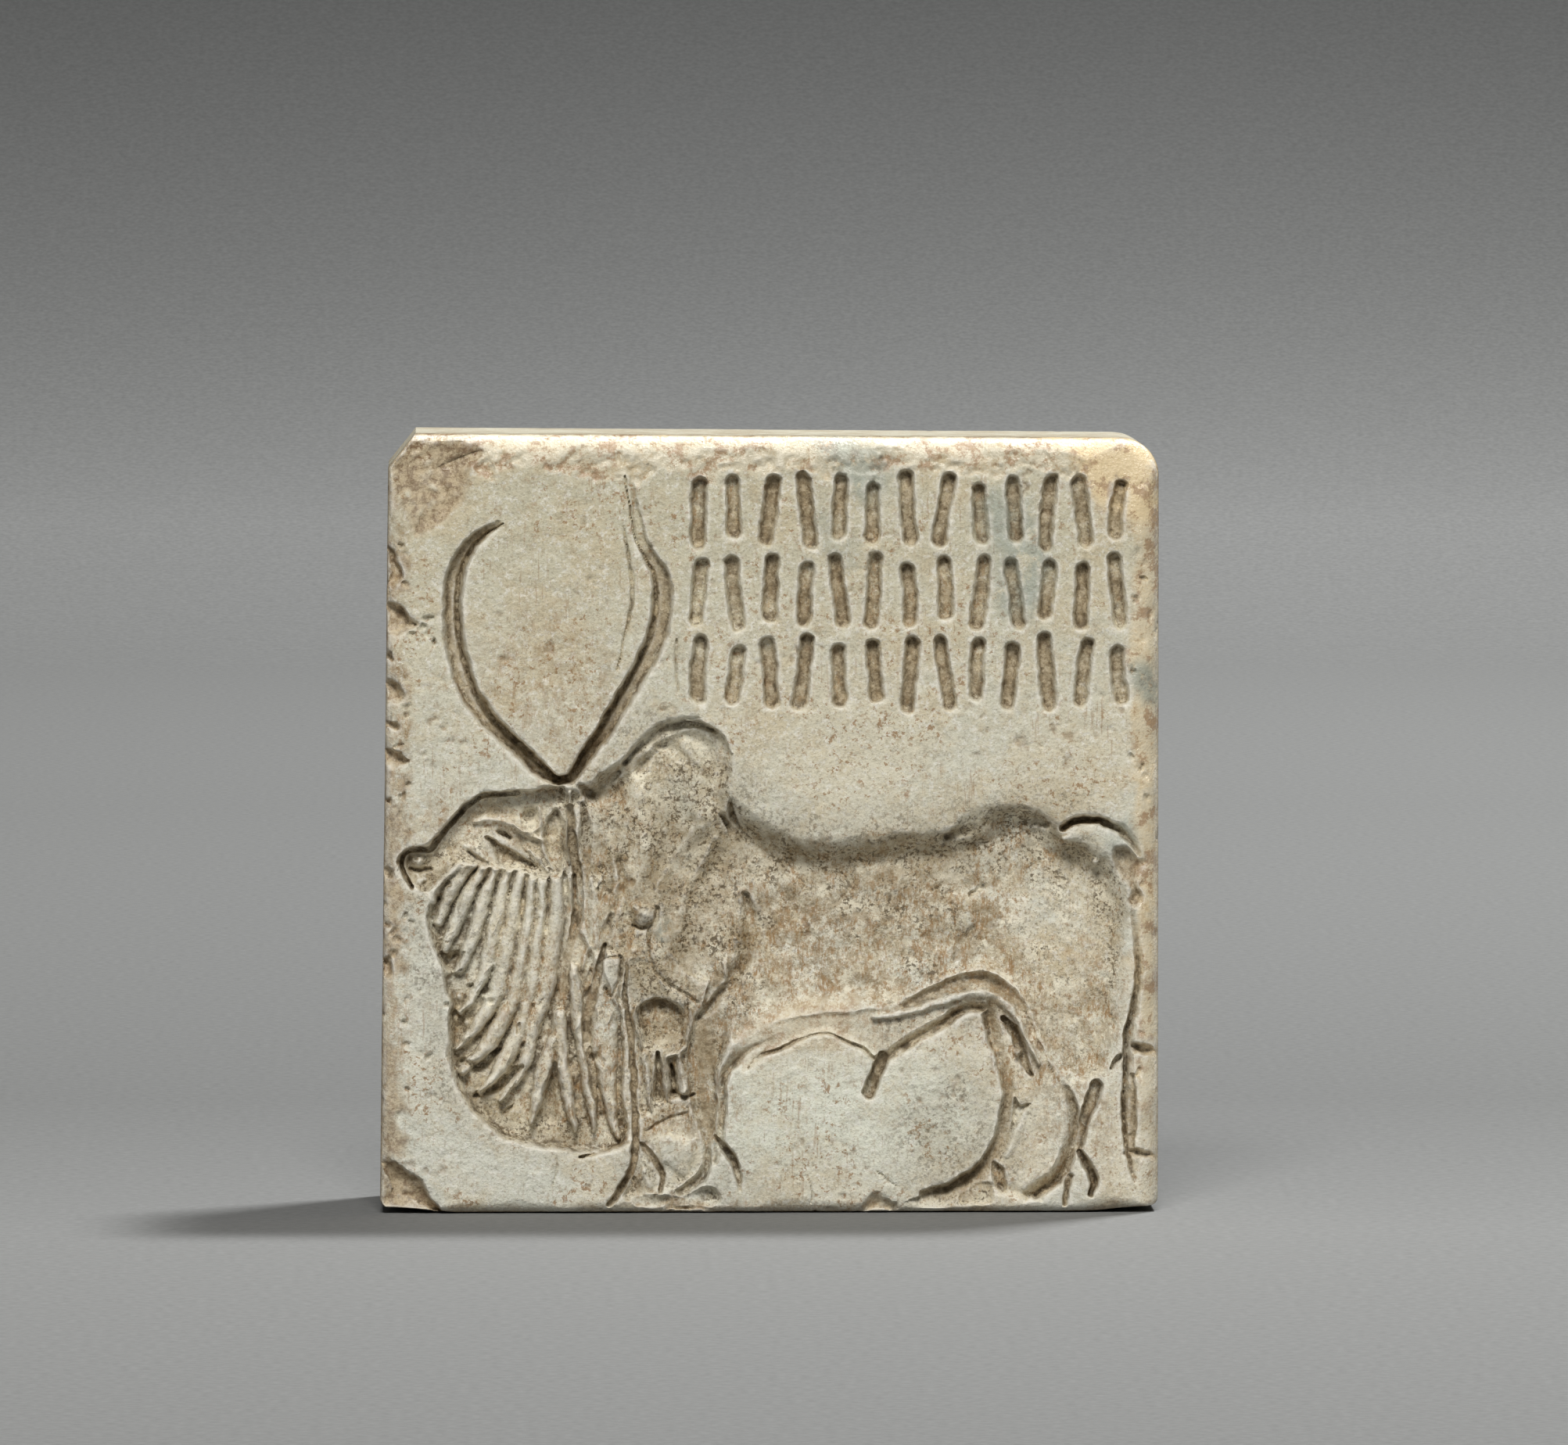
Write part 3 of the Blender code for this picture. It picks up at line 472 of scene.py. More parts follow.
def carve_dewlap(face):
    """Hanging skin of the throat: rolls that fan out over a deeper hem"""
    skin = [(-428, 428), (-443, 384), (-438, 354), (-422, 310), (-414, 264), (-414, 214), (-407, 178),
            (-386, 135), (-359, 107), (-331, 90), (-283, 80), (-238, 76), (-181, 89), (-184, 154),
            (-188, 254), (-214, 324), (-246, 374), (-262, 444), (-304, 442), (-354, 450), (-390, 454)]
    face.hollow(skin, (0.95, 0.66), (16, 12, 9, 12))
    floor = face.depth.copy()
    rolls = (
        ([(-398, 450), (-424, 426), (-435, 402)], (14, 16, 12), 0.3),
        ([(-384, 448), (-412, 414), (-428, 374)], (16, 20, 14), 0.4),
        ([(-368, 444), (-392, 404), (-412, 362), (-418, 338)], (12, 20, 20, 12), 0.42),
        ([(-352, 442), (-370, 399), (-386, 349), (-400, 314)], (10, 20, 20, 14), 0.42),
        ([(-336, 436), (-350, 394), (-364, 319), (-382, 279), (-399, 258)], (10, 20, 22, 16, 10), 0.42),
        ([(-322, 430), (-334, 384), (-343, 319), (-358, 269), (-384, 228), (-402, 210)],
         (12, 20, 22, 24, 20, 10), 0.46),
        ([(-306, 430), (-316, 374), (-324, 314), (-336, 264), (-362, 214), (-394, 182)],
         (12, 18, 20, 22, 22, 12), 0.5),
        ([(-292, 444), (-300, 374), (-306, 314), (-320, 244), (-344, 189), (-372, 152)],
         (12, 18, 22, 22, 22, 8), 0.5),
        ([(-276, 444), (-280, 364), (-290, 292), (-308, 234), (-320, 182), (-348, 142)],
         (14, 24, 26, 24, 18, 6), 0.5),
        ([(-278, 224), (-290, 192), (-300, 144), (-308, 112)], (16, 24, 18, 6), 0.52),
        ([(-272, 254), (-268, 194), (-260, 144), (-250, 104)], (20, 20, 20, 8), 0.52),
        ([(-255, 314), (-248, 254), (-238, 194), (-230, 144), (-226, 104)], (16, 18, 20, 18, 6), 0.5),
        ([(-212, 322), (-214, 254), (-212, 184), (-202, 124), (-194, 96)], (34, 36, 34, 22, 8), 0.42))
    for line, widths, height in rolls:
        face.roll(line, 1.04 * np.array(widths), height, floor)
    face.fold([(-279, 192), (-284, 159), (-283, 122)], (6, 20, 34), 0.3)
    face.fold([(-396, 192), (-372, 188), (-350, 208)], (10, 24, 8), 0.35)
    face.fold([(-378, 150), (-348, 162), (-322, 186)], (10, 22, 8), 0.35)
    face.fold([(-426, 330), (-412, 326), (-394, 336)], (8, 18, 6), 0.2)
    face.ridge([(-430, 318), (-412, 312)], 18, 0.24)
    for spot in ((-415, 422), (-427, 403), (-438, 379), (-362, 286), (-358, 272), (-216, 124), (-384, 292),
                 (-412, 292), (-418, 270), (-406, 254)):
        face.mound(*spot, 11, -0.18)
    for spot in ((-367, 278), (-394, 224), (-380, 268), (-400, 278), (-388, 242)):
        face.mound(*spot, 14, 0.16)


def carve_head(face):
    """Head in profile, looking to the left"""
    skull = [(-472, 457), (-460, 466), (-440, 469), (-431, 483), (-416, 501), (-402, 517), (-388, 529),
             (-373, 536), (-354, 542), (-316, 543), (-284, 549), (-262, 538), (-260, 454), (-284, 424),
             (-344, 436), (-398, 446), (-424, 426), (-444, 412), (-464, 418), (-473, 438)]
    face.hollow(skull, (0.62, 0.72), (10, 10, 12, 9))
    face.scoop([(-475, 446), (-470, 458), (-456, 464), (-438, 466), (-428, 482), (-413, 499), (-399, 514),
                (-384, 525), (-364, 535), (-329, 537)], 6, 14,
               (0.4, 0.66, 0.8, 0.85, 0.9, 0.9, 0.86, 0.85, 0.8, 0.7))
    face.groove([(-474, 454), (-472, 434), (-462, 416)], (6, 9, 6), 0.66)
    face.mound(-454, 450, 24, 0.42)
    face.mound(-452, 426, 30, 0.46)
    face.fold([(-464, 439), (-450, 438), (-438, 441)], (4, 7, 4), 0.2)
    for x, z, across in ((-457, 453, 7), (-446, 446, 6), (-458, 430, 8), (-446, 422, 7), (-452, 434, 6),
                         (-443, 432, 6)):
        face.mound(x, z, across, -0.14)
    nose = [(-436, 462), (-409, 492), (-378, 518), (-344, 524), (-344, 508), (-372, 500), (-384, 480),
            (-392, 456), (-424, 442)]
    face.hollow(nose, (0.06, 0.12), (24, 24, 24, 24), deeper=True)
    face.ridge([(-384, 500), (-362, 505), (-342, 504), (-326, 495), (-310, 486), (-292, 478)],
               (10, 19, 19, 17, 16, 8), 0.24)
    face.ridge([(-396, 470), (-380, 464), (-366, 452)], (10, 24, 12), 0.14)
    face.fold([(-350, 490), (-343, 486), (-336, 481)], (8, 14, 8), 0.34)
    cheek = [(-368, 482), (-350, 475), (-328, 462), (-308, 450), (-300, 441), (-322, 437), (-346, 440),
             (-356, 456)]
    face.hollow(cheek, (0.3, 0.44), (5, 8, 20, 4), deeper=True)
    face.fold([(-390, 462), (-376, 454), (-362, 448)], (5, 8, 5), 0.14)
    face.ridge([(-312, 464), (-297, 450), (-288, 440)], (8, 13, 8), 0.14)
    face.mound(-311, 511, 27, -0.34)
    face.ridge([(-330, 499), (-318, 492), (-303, 492), (-296, 502), (-298, 520)], (6, 9, 10, 9, 6), 0.18)
    leaf = [(-279, 520), (-266, 496), (-266, 458), (-276, 436), (-288, 458), (-293, 490)]
    face.hollow(leaf, (0.22, 0.36), (8, 8, 16, 6), deeper=True)
    face.ridge([(-261, 540), (-262, 494), (-260, 452)], (7, 11, 8), 0.3)
    face.ridge([(-296, 494), (-292, 464), (-282, 442)], (6, 10, 8), 0.14)


def carve_horns(face):
    """Two long horns that curve up from the brow"""
    left = np.array([(-352, 886), (-373, 870), (-394, 850), (-405, 823), (-410, 797), (-410, 762),
                     (-405, 721), (-397, 687), (-380, 655), (-357, 628), (-333, 604), (-313, 584),
                     (-294, 565), (-278, 556)])
    right = np.array([(-278, 554), (-262, 560), (-245, 584), (-224, 612), (-210, 637), (-193, 664),
                      (-175, 696), (-161, 723), (-151, 756), (-149, 790), (-152, 821), (-165, 848),
                      (-177, 876), (-182, 910), (-189, 947)])
    face.groove(left - (3, 0), (8, 20, 27, 30, 30, 30, 30, 30, 29, 28, 28, 26, 22, 16),
                (0.1, 0.34, 0.5, 0.54, 0.54, 0.54, 0.56, 0.58, 0.62, 0.68, 0.72, 0.78, 0.8, 0.8), floor=0.42)
    face.groove(right + (4, 0), (16, 20, 24, 26, 27, 28, 29, 30, 30, 30, 26, 20, 14, 10, 5),
                (0.8, 0.8, 0.76, 0.7, 0.66, 0.62, 0.58, 0.54, 0.5, 0.44, 0.36, 0.26, 0.18, 0.12, 0.04),
                floor=0.42)
    face.fold(left + (3, 0), (2, 6, 8, 9, 9, 9, 9, 10, 11, 12, 13, 13, 10, 6), 0.2)
    face.fold(right - (4, 0), (6, 10, 13, 13, 12, 11, 10, 10, 9, 8, 6, 4, 3, 2, 2), 0.2)
    face.groove([(-195, 883), (-187, 834), (-183, 804), (-185, 769), (-193, 729), (-200, 700)],
                (2, 6, 7, 6, 3, 2), 0.16, floor=0.0)
    face.groove([(-126, 738), (-122, 700), (-119, 673)], (3, 7, 3), 0.1, floor=0.0)


def carve_creases(face):
    """Creases of the neck, of the shoulder and of the flank"""
    face.groove([(-246, 318), (-237, 292), (-232, 270)], (8, 10, 12), 0.7, floor=0.5)
    face.groove([(-214, 344), (-224, 306), (-230, 276), (-236, 250), (-236, 222), (-229, 181), (-222, 134)],
                (8, 12, 16, 16, 15, 13, 7), 0.76, floor=0.5)
    face.groove([(-262, 520), (-254, 470), (-248, 420), (-252, 372), (-262, 320), (-268, 282)],
                (12, 17, 19, 20, 15, 8), (0.6, 0.84, 0.88, 0.9, 0.8, 0.6), floor=0.5)
    face.ridge([(-242, 314), (-237, 332), (-232, 344)], (5, 10, 5), 0.16)
    face.ridge([(-251, 308), (-246, 286), (-241, 264)], (6, 13, 6), 0.2)
    face.fold([(-254, 434), (-252, 394), (-256, 349)], (6, 14, 8), 0.2)
    face.fold([(-214, 329), (-195, 328), (-197, 298), (-206, 281), (-214, 292)], (4, 6, 6, 6, 4), 0.16)
    face.mound(-226, 198, 18, -0.2)
    face.mound(-167, 387, 38, 0.3)
    face.fold([(-180, 372), (-164, 368), (-151, 378), (-149, 394)], (5, 9, 11, 7), 0.2)
    face.fold([(-160, 366), (-160, 330), (-148, 308), (-123, 288), (-94, 270)], (7, 8, 7, 7, 4), 0.13)
    face.fold([(-92, 252), (-66, 278), (-44, 304), (-30, 334), (-28, 372), (-34, 410)],
              (14, 26, 34, 38, 34, 12), 0.3)
    face.fold([(-66, 500), (-84, 470), (-106, 440), (-122, 404), (-134, 370)], (30, 70, 80, 66, 30), 0.2)
    face.fold([(-240, 544), (-218, 536), (-190, 556), (-160, 584)], (20, 50, 50, 20), 0.2)
    face.fold([(-246, 548), (-234, 540), (-214, 548), (-196, 566)], (14, 30, 26, 8), 0.24)
    face.fold([(-244, 524), (-238, 490), (-236, 450)], (10, 26, 12), 0.22)
    face.ridge([(-176, 560), (-160, 500), (-172, 440), (-178, 396)], (40, 70, 54, 30), 0.2)
    face.ridge([(-110, 600), (-100, 560), (-96, 520)], (30, 70, 40), 0.16)
    face.fold([(-196, 452), (-194, 420), (-204, 392)], (8, 20, 8), 0.14)
    face.fold([(-206, 384), (-214, 360), (-214, 330)], (8, 18, 8), 0.18)
    face.fold([(-148, 600), (-120, 590), (-84, 560)], (10, 22, 10), 0.1)
    face.ridge([(-112, 632), (-85, 630), (-60, 614), (-52, 592)], (5, 10, 10, 5), 0.3)
    face.fold([(-189, 579), (-172, 598), (-144, 620), (-103, 629), (-72, 620)], (10, 20, 22, 20, 10), 0.3)
    face.ridge([(-194, 464), (-184, 504), (-164, 544)], (20, 50, 20), 0.1)
    face.ridge([(-231, 430), (-228, 384), (-226, 344)], (12, 22, 12), 0.14)
    face.ridge([(-205, 470), (-198, 414), (-200, 344)], (12, 26, 16), 0.1)
    face.mound(225, 484, 30, -0.14)
    face.groove([(-29, 187), (-17, 202), (10, 212), (36, 223), (64, 228), (82, 228), (110, 214), (136, 196)],
                (5, 8, 9, 7, 5, 6, 8, 8), (0.2, 0.26, 0.26, 0.18, 0.14, 0.18, 0.3, 0.34), floor=0.0)
    face.scoop([(326, 258), (310, 280), (291, 292), (270, 300), (241, 298), (205, 284), (173, 264)], 22, 16,
               (0.5, 0.66, 0.72, 0.72, 0.7, 0.64, 0.46))
    face.ridge([(132, 252), (166, 258), (206, 270), (242, 280), (272, 282), (296, 272), (316, 252),
                (332, 220), (346, 194)], (10, 16, 17, 17, 17, 16, 15, 12, 6), 0.36)
    face.scoop([(282, 262), (266, 264), (252, 264), (223, 248), (196, 233), (170, 216), (143, 197)], 7, 14,
               (0.5, 0.6, 0.6, 0.55, 0.55, 0.5, 0.45))
    face.groove([(144, 202), (137, 178), (128, 156)], (15, 19, 20), 0.5, floor=0.5)
    face.fold([(256, 408), (273, 422)], (5, 9), 0.16)
    face.fold([(234, 326), (246, 348), (260, 366)], (10, 26, 10), 0.16)
    face.groove([(327, 257), (342, 224), (364, 182)], (3, 6, 3), 0.1, floor=0.0, deeper=True)
    for line, height in (([(26, 424), (96, 374), (176, 364)], 0.08),
                         ([(166, 424), (226, 384), (276, 404)], 0.07),
                         ([(346, 434), (386, 364), (396, 274)], 0.1),
                         ([(316, 374), (336, 314), (356, 254)], 0.08),
                         ([(96, 314), (146, 302), (196, 314)], 0.08),
                         ([(-14, 424), (-9, 354), (6, 292)], 0.1)):
        face.ridge(line, (40, 90, 40), height)


def carve_hind_legs(face):
    """Outlines of the hind legs and their hooves"""
    face.scoop([(202, 21), (231, 30), (259, 46), (275, 61), (286, 76), (294, 96), (300, 113), (305, 138),
                (308, 157), (299, 195), (288, 223), (281, 256)], 9, 30,
               (0.4, 0.54, 0.56, 0.5, 0.46, 0.44, 0.44, 0.46, 0.52, 0.58, 0.64, 0.66))
    face.ridge([(314, 150), (318, 114), (306, 74)], (14, 30, 16), 0.14)
    face.groove([(301, 249), (314, 234), (322, 216), (328, 198), (339, 176)], (8, 17, 19, 16, 5), 0.75,
                floor=0.4)
    face.mound(321, 206, 14, 0.5)
    hock = [(314, 154), (323, 142), (341, 141), (324, 120), (306, 102)]
    face.hollow(hock, (0.4, 0.5), (6, 6, 20, 6))
    fetlock = [(285, 70), (303, 54), (305, 26), (292, 26), (281, 48)]
    face.hollow(fetlock, (0.46, 0.54), (8, 9, 8, 8))
    face.scoop([(382, 162), (388, 138), (391, 113), (388, 88), (382, 63), (372, 46), (360, 35), (341, 22)],
               7, 18, (0.4, 0.6, 0.7, 0.7, 0.75, 0.85, 0.85, 0.7))
    face.groove([(418, 164), (408, 138), (400, 113), (394, 86)], (22, 22, 18, 12), 0.56, floor=0.45)
    face.groove([(395, 80), (408, 62), (417, 42), (412, 24)], (10, 16, 16, 8), 0.6)
    face.groove([(384, 49), (380, 10)], (12, 8), 0.35)
    face.ridge([(402, 54), (400, 32)], (8, 14), 0.1)
    face.fold([(271, 34), (316, 24), (346, 16)], (10, 24, 10), 0.16)
    face.hollow([(241, 24), (266, 42), (288, 34), (284, 9), (246, 6)], (0.3, 0.4), (8, 10, 10, 8))


def carve_forelegs(face):
    """Outlines of the forelegs and their hooves, with the pocket between them"""
    face.groove([(-187, 322), (-187, 279), (-182, 243), (-178, 199), (-175, 154), (-173, 114), (-171, 75),
                 (-177, 50), (-193, 26), (-206, 11)], (4, 9, 12, 11, 14, 10, 15, 12, 14, 8),
                (0.55, 0.72, 0.76, 0.72, 0.76, 0.7, 0.66, 0.6, 0.5, 0.3), floor=0.35)
    face.groove([(-69, 300), (-76, 262), (-84, 228), (-83, 184), (-80, 144), (-80, 108)],
                (26, 34, 32, 30, 28, 22), (0.62, 0.74, 0.72, 0.7, 0.68, 0.55), floor=0.55)
    pocket = [(-170, 262), (-162, 273), (-148, 277), (-128, 274), (-114, 263), (-110, 246), (-116, 226),
              (-136, 210), (-158, 210), (-167, 232)]
    face.hollow(pocket, (0.26, 0.5), (8, 8, 22, 7), deeper=True)
    face.ridge([(-173, 266), (-173, 238), (-166, 212)], (5, 10, 8), 0.26)
    face.ridge([(-105, 262), (-103, 234), (-114, 210), (-134, 202)], (8, 16, 17, 12), 0.3)
    for line, widths in (([(-147, 206), (-144, 179), (-143, 148)], (4, 12, 17)),
                         ([(-128, 190), (-126, 172), (-125, 154)], (4, 11, 16))):
        face.fold(line, widths, 0.46)
    face.ridge([(-162, 204), (-158, 170), (-153, 132)], (15, 17, 8), 0.28)
    face.ridge([(-137, 200), (-135, 170), (-133, 146)], (9, 12, 6), 0.3)
    face.ridge([(-118, 200), (-115, 178), (-112, 158)], (13, 17, 18), 0.3)
    face.fold([(-126, 156), (-112, 150), (-100, 152)], (5, 9, 6), 0.26)
    face.scoop([(-72, 68), (-64, 96), (-64, 134), (-62, 168), (-46, 192), (-22, 214), (1, 224)], 14, 7,
               (0.3, 0.4, 0.5, 0.5, 0.45, 0.35, 0.2))
    panel = [(-158, 104), (-134, 118), (-108, 129), (-92, 104), (-88, 74), (-90, 52), (-112, 30), (-136, 36),
             (-150, 70)]
    face.ridge([(-132, 92), (-118, 76), (-112, 58)], (30, 60, 30), 0.34)
    face.hollow(panel, (0.3, 0.22), (6, 10, 10, 6))
    face.fold([(-159, 106), (-134, 120), (-108, 130)], (5, 7, 5), 0.12)
    face.scoop([(-98, 118), (-86, 98), (-80, 76), (-83, 52), (-96, 38), (-114, 26)], 8, 16,
               (0.4, 0.5, 0.6, 0.66, 0.66, 0.5))
    face.groove([(-166, 90), (-152, 77), (-142, 60), (-136, 42), (-138, 26)], (8, 14, 15, 12, 6), 0.62)
    face.groove([(-72, 98), (-58, 83), (-46, 68), (-39, 48), (-36, 31)], (8, 13, 14, 11, 5),
                (0.5, 0.6, 0.5, 0.3, 0.1))
    face.ridge([(-158, 54), (-152, 34)], (12, 18), 0.2)
    face.fold([(-172, 44), (-162, 22)], (8, 12), 0.15)
    face.groove([(-244, 72), (-209, 81), (-178, 92)], (4, 7, 5), 0.3)
    face.hollow([(-172, 34), (-134, 24), (-79, 36), (-59, 19), (-84, 6), (-164, 6)], (0.3, 0.34),
                (12, 12, 10, 10))


def carve_tail(face):
    """Tail, arched over the rump and hanging down behind the legs"""
    face.scoop([(474, 458), (463, 478), (446, 494), (430, 502), (412, 507), (388, 506), (373, 496)], 5, 6,
               (0.16, 0.3, 0.5, 0.75, 0.9, 0.9, 0.6))
    face.ridge([(376, 485), (394, 491), (410, 492), (430, 484), (448, 469), (462, 452)],
               (8, 15, 16, 16, 14, 8), 0.5)
    root = [(370, 472), (382, 480), (402, 478), (414, 468), (414, 454), (400, 444), (380, 448)]
    face.hollow(root, (0.06, 0.2), (10, 14, 20, 14), deeper=True)
    face.mound(417, 452, 16, 0.3)
    face.scoop([(462, 378), (474, 318), (466, 254), (457, 220), (454, 184), (454, 150), (456, 113), (460, 80),
                (465, 54), (468, 39)], 10, 4, (0.1, 0.2, 0.34, 0.56, 0.64, 0.66, 0.6, 0.55, 0.45, 0.2))
    face.groove([(462, 172), (463, 134), (465, 102), (467, 70)], (8, 15, 15, 6), 0.3, floor=0.6)
    face.groove([(435, 184), (446, 196), (456, 202)], (4, 12, 6), 0.4)
    face.ridge([(482, 374), (486, 314), (480, 254)], (10, 18, 10), 0.12)


def nick_throat(face):
    """Short nicks and crumbs that break up the rolls of the throat"""
    draw = np.random.default_rng(SEED + 50)
    for _ in range(NICKS):
        x, z = draw.uniform((-432.0, 110.0), (-190.0, 430.0))
        slope = np.radians(80.0 - 40.0 * (-x - 190.0) / 240.0) + draw.normal(0.0, 0.25)
        long = draw.uniform(3.0, 14.0)
        across = draw.uniform(5.0, 10.0)
        depth = draw.uniform(-0.1, 0.16)
        reach = np.array([np.cos(slope), np.sin(slope)]) * long
        row = int(np.clip(z / face.step, 0, face.depth.shape[0] - 1))
        column = int((x + HALF_FACE) / face.step)
        if face.depth[row, column] > 0.3:
            face.fold([(x, z) - reach, (x, z), (x, z) + reach], (2.0, across, 2.0), depth)


def carve_script(face):
    """Rows of plain strokes in the band above the bull's back"""
    left, right, bottom, top = SCRIPT_BAND
    across = (right - left) / SCRIPT_STROKES
    tall = (top - bottom) / SCRIPT_ROWS
    for row in range(SCRIPT_ROWS):
        for place in range(SCRIPT_STROKES):
            turn = 2.4 * place + 1.7 * row
            lean = 5 * np.sin(turn)
            half = tall * (0.34 + 0.05 * np.sin(1.9 * turn))
            x = left + (place + 0.5) * across + 2 * np.sin(3.1 * turn)
            z = bottom + (row + 0.5) * tall + 4 * np.cos(turn)
            face.groove([(x - lean, z - half), (x + lean, z + half)], STROKE_WIDTH, STROKE_DEPTH, floor=0.35)


def uneven(place):
    """Share that wanders a little either side of 1 along an edge"""
    return 1.0 + 0.25 * np.sin(place / 31.0) + 0.15 * np.sin(place / 13.0)


def worn_top(x, z):
    """Share of the glossy band along the top, with its wavy border"""
    waves = 34.0 * (cloud(x, z, 26.0, SEED + 21) - 0.5) + 14.0 * (cloud(x, z, 8.0, SEED + 28) - 0.5)
    return ease((z - TOP_POLISH_FROM + waves) / 4.0)


def wear_edges(face):
    """Rubbed edges of the face, widest along the top, where the polish is full of small bumps"""
    x, z = face.x, face.z
    bumps = 0.12 * (cloud(x, z, 13.0, SEED + 43) - 0.5) + 0.1 * (cloud(x, z, 6.0, SEED + 44) - 0.5)
    face.depth += worn_top(x, z) * (0.05 + bumps)
    edges = ((FACE - z, x, WORN_TOP), (HALF_FACE - x, z, WORN_RIGHT), (HALF_FACE + x, z, WORN_LEFT),
             (z, x, WORN_FOOT), (np.hypot(HALF_FACE - x, FACE - z), x, WORN_CORNER))
    for gap, place, (band, drop) in edges:
        share = 1.0 - np.clip(gap / (band * uneven(place)), 0.0, 1.0)
        face.depth = np.maximum(face.depth, drop * (1.0 - np.sqrt(1.0 - share ** 2)))


def chip_edges(face):
    """Chips broken out of the edges long ago"""
    upper_left = [(-510, 1010), (-455, 1010), (-386, 990), (-386, 960), (-396, 914), (-434, 880), (-461, 865),
                  (-480, 887), (-510, 930)]
    face.chip(upper_left, (0.15, 0.6), (70, 50, 16, 70))
    lower_left = [(-510, -8), (-506, 70), (-478, 66), (-440, 30), (-420, -8)]
    face.chip(lower_left, (0.6, 0.3), (12, 14, 60, 60))
    foot = [(-168, -8), (-160, 12), (-146, 8), (-130, 24), (-112, 14), (-96, 22), (-70, 10), (-60, -8)]
    face.chip(foot, (0.34, 0.25), (16, 10, 40, 10), 0.5)
    foot_notch = [(110, -8), (118, 12), (132, 26), (150, 22), (166, 12), (174, -8)]
    face.chip(foot_notch, (0.36, 0.25), (16, 10, 40, 10), 0.5)
    for middle, tall in ((203, 30), (70, 28)):
        notch = [(456, middle + 4), (470, middle + tall / 2), (508, middle), (508, middle - tall / 2),
                 (484, middle - tall / 3)]
        face.chip(notch, (0.5, 0.5), (8, 40, 12, 8), 0.5)
    for top, bottom, reach in ((858, 796, 24), (786, 742, 46), (730, 704, 14), (690, 648, 28), (636, 612, 20),
                               (598, 566, 30), (540, 520, 12), (452, 420, 14), (330, 290, 12)):
        middle = 0.4 * top + 0.6 * bottom
        flake = [(-508, top), (-500 + 0.5 * reach, top - 6), (-500 + 0.8 * reach, middle + 8),
                 (-500 + reach, middle - 4), (-500 + 0.4 * reach, bottom), (-508, bottom - 4)]
        face.chip(flake, (0.24, 0.56), (10, 8, 24, 30), 0.7)
    tail_break = [(440, 470), (456, 478), (470, 462), (486, 448), (474, 424), (484, 402), (466, 386),
                  (452, 396), (458, 416), (444, 436)]
    face.chip(tail_break, (0.35, 0.55), (22, 16, 26, 18), 0.6)
    draw = np.random.default_rng(SEED + 60)
    for _ in range(EDGE_PITS):
        x = draw.normal(-466.0, 16.0) if draw.random() < 0.7 else draw.normal(474.0, 10.0)
        z = draw.uniform(90.0, 860.0)
        bend = draw.normal(0.0, 3.0, 4)
        face.fold([(x, z), (x + bend[0], z + bend[1]), (x + bend[2], z + bend[3])],
                  (5.0, draw.uniform(8.0, 16.0), 5.0), draw.uniform(0.04, 0.15))
    for line in ([(-275, 80), (-273, 60), (-276, 34)], [(52, 40), (56, 24), (50, 8)],
                 [(134, 52), (148, 44), (162, 34)]):
        face.groove(line, (2, 4, 2), 0.1, floor=0.0)


def carved_face(cells):
    """The whole carving of the face"""
    face = Relief(cells)
    carve_body(face)
    carve_dewlap(face)
    carve_head(face)
    carve_creases(face)
    carve_hind_legs(face)
    carve_forelegs(face)
    carve_tail(face)
    carve_horns(face)
    carve_script(face)
    nick_throat(face)
    lumps = sum(share * (cloud(face.x, face.z, size, SEED + size) - 0.5)
                for size, share in ((70, 0.14), (30, 0.07), (14, 0.045), (7, 0.05)))
    face.depth += lumps * np.clip(face.depth / 0.35, 0.0, 1.0) * (1.0 - 0.7 * face.tooled)
    grain = 0.035 * (cloud(face.x, face.z, 6.0, SEED + 41) - 0.5)
    face.depth += grain + 0.04 * cloud(face.x, face.z, 22.0, SEED + 42)
    wear_edges(face)
    chip_edges(face)
    # The carving's lips rubbed soft by blurring the depth a little; this is shape, no painted light
    rubbed_and_highlit = blurred(face.depth, 1)
    face.depth = np.maximum(face.depth + RUBBED_SHARE * (rubbed_and_highlit - face.depth), 0.0)
    return face


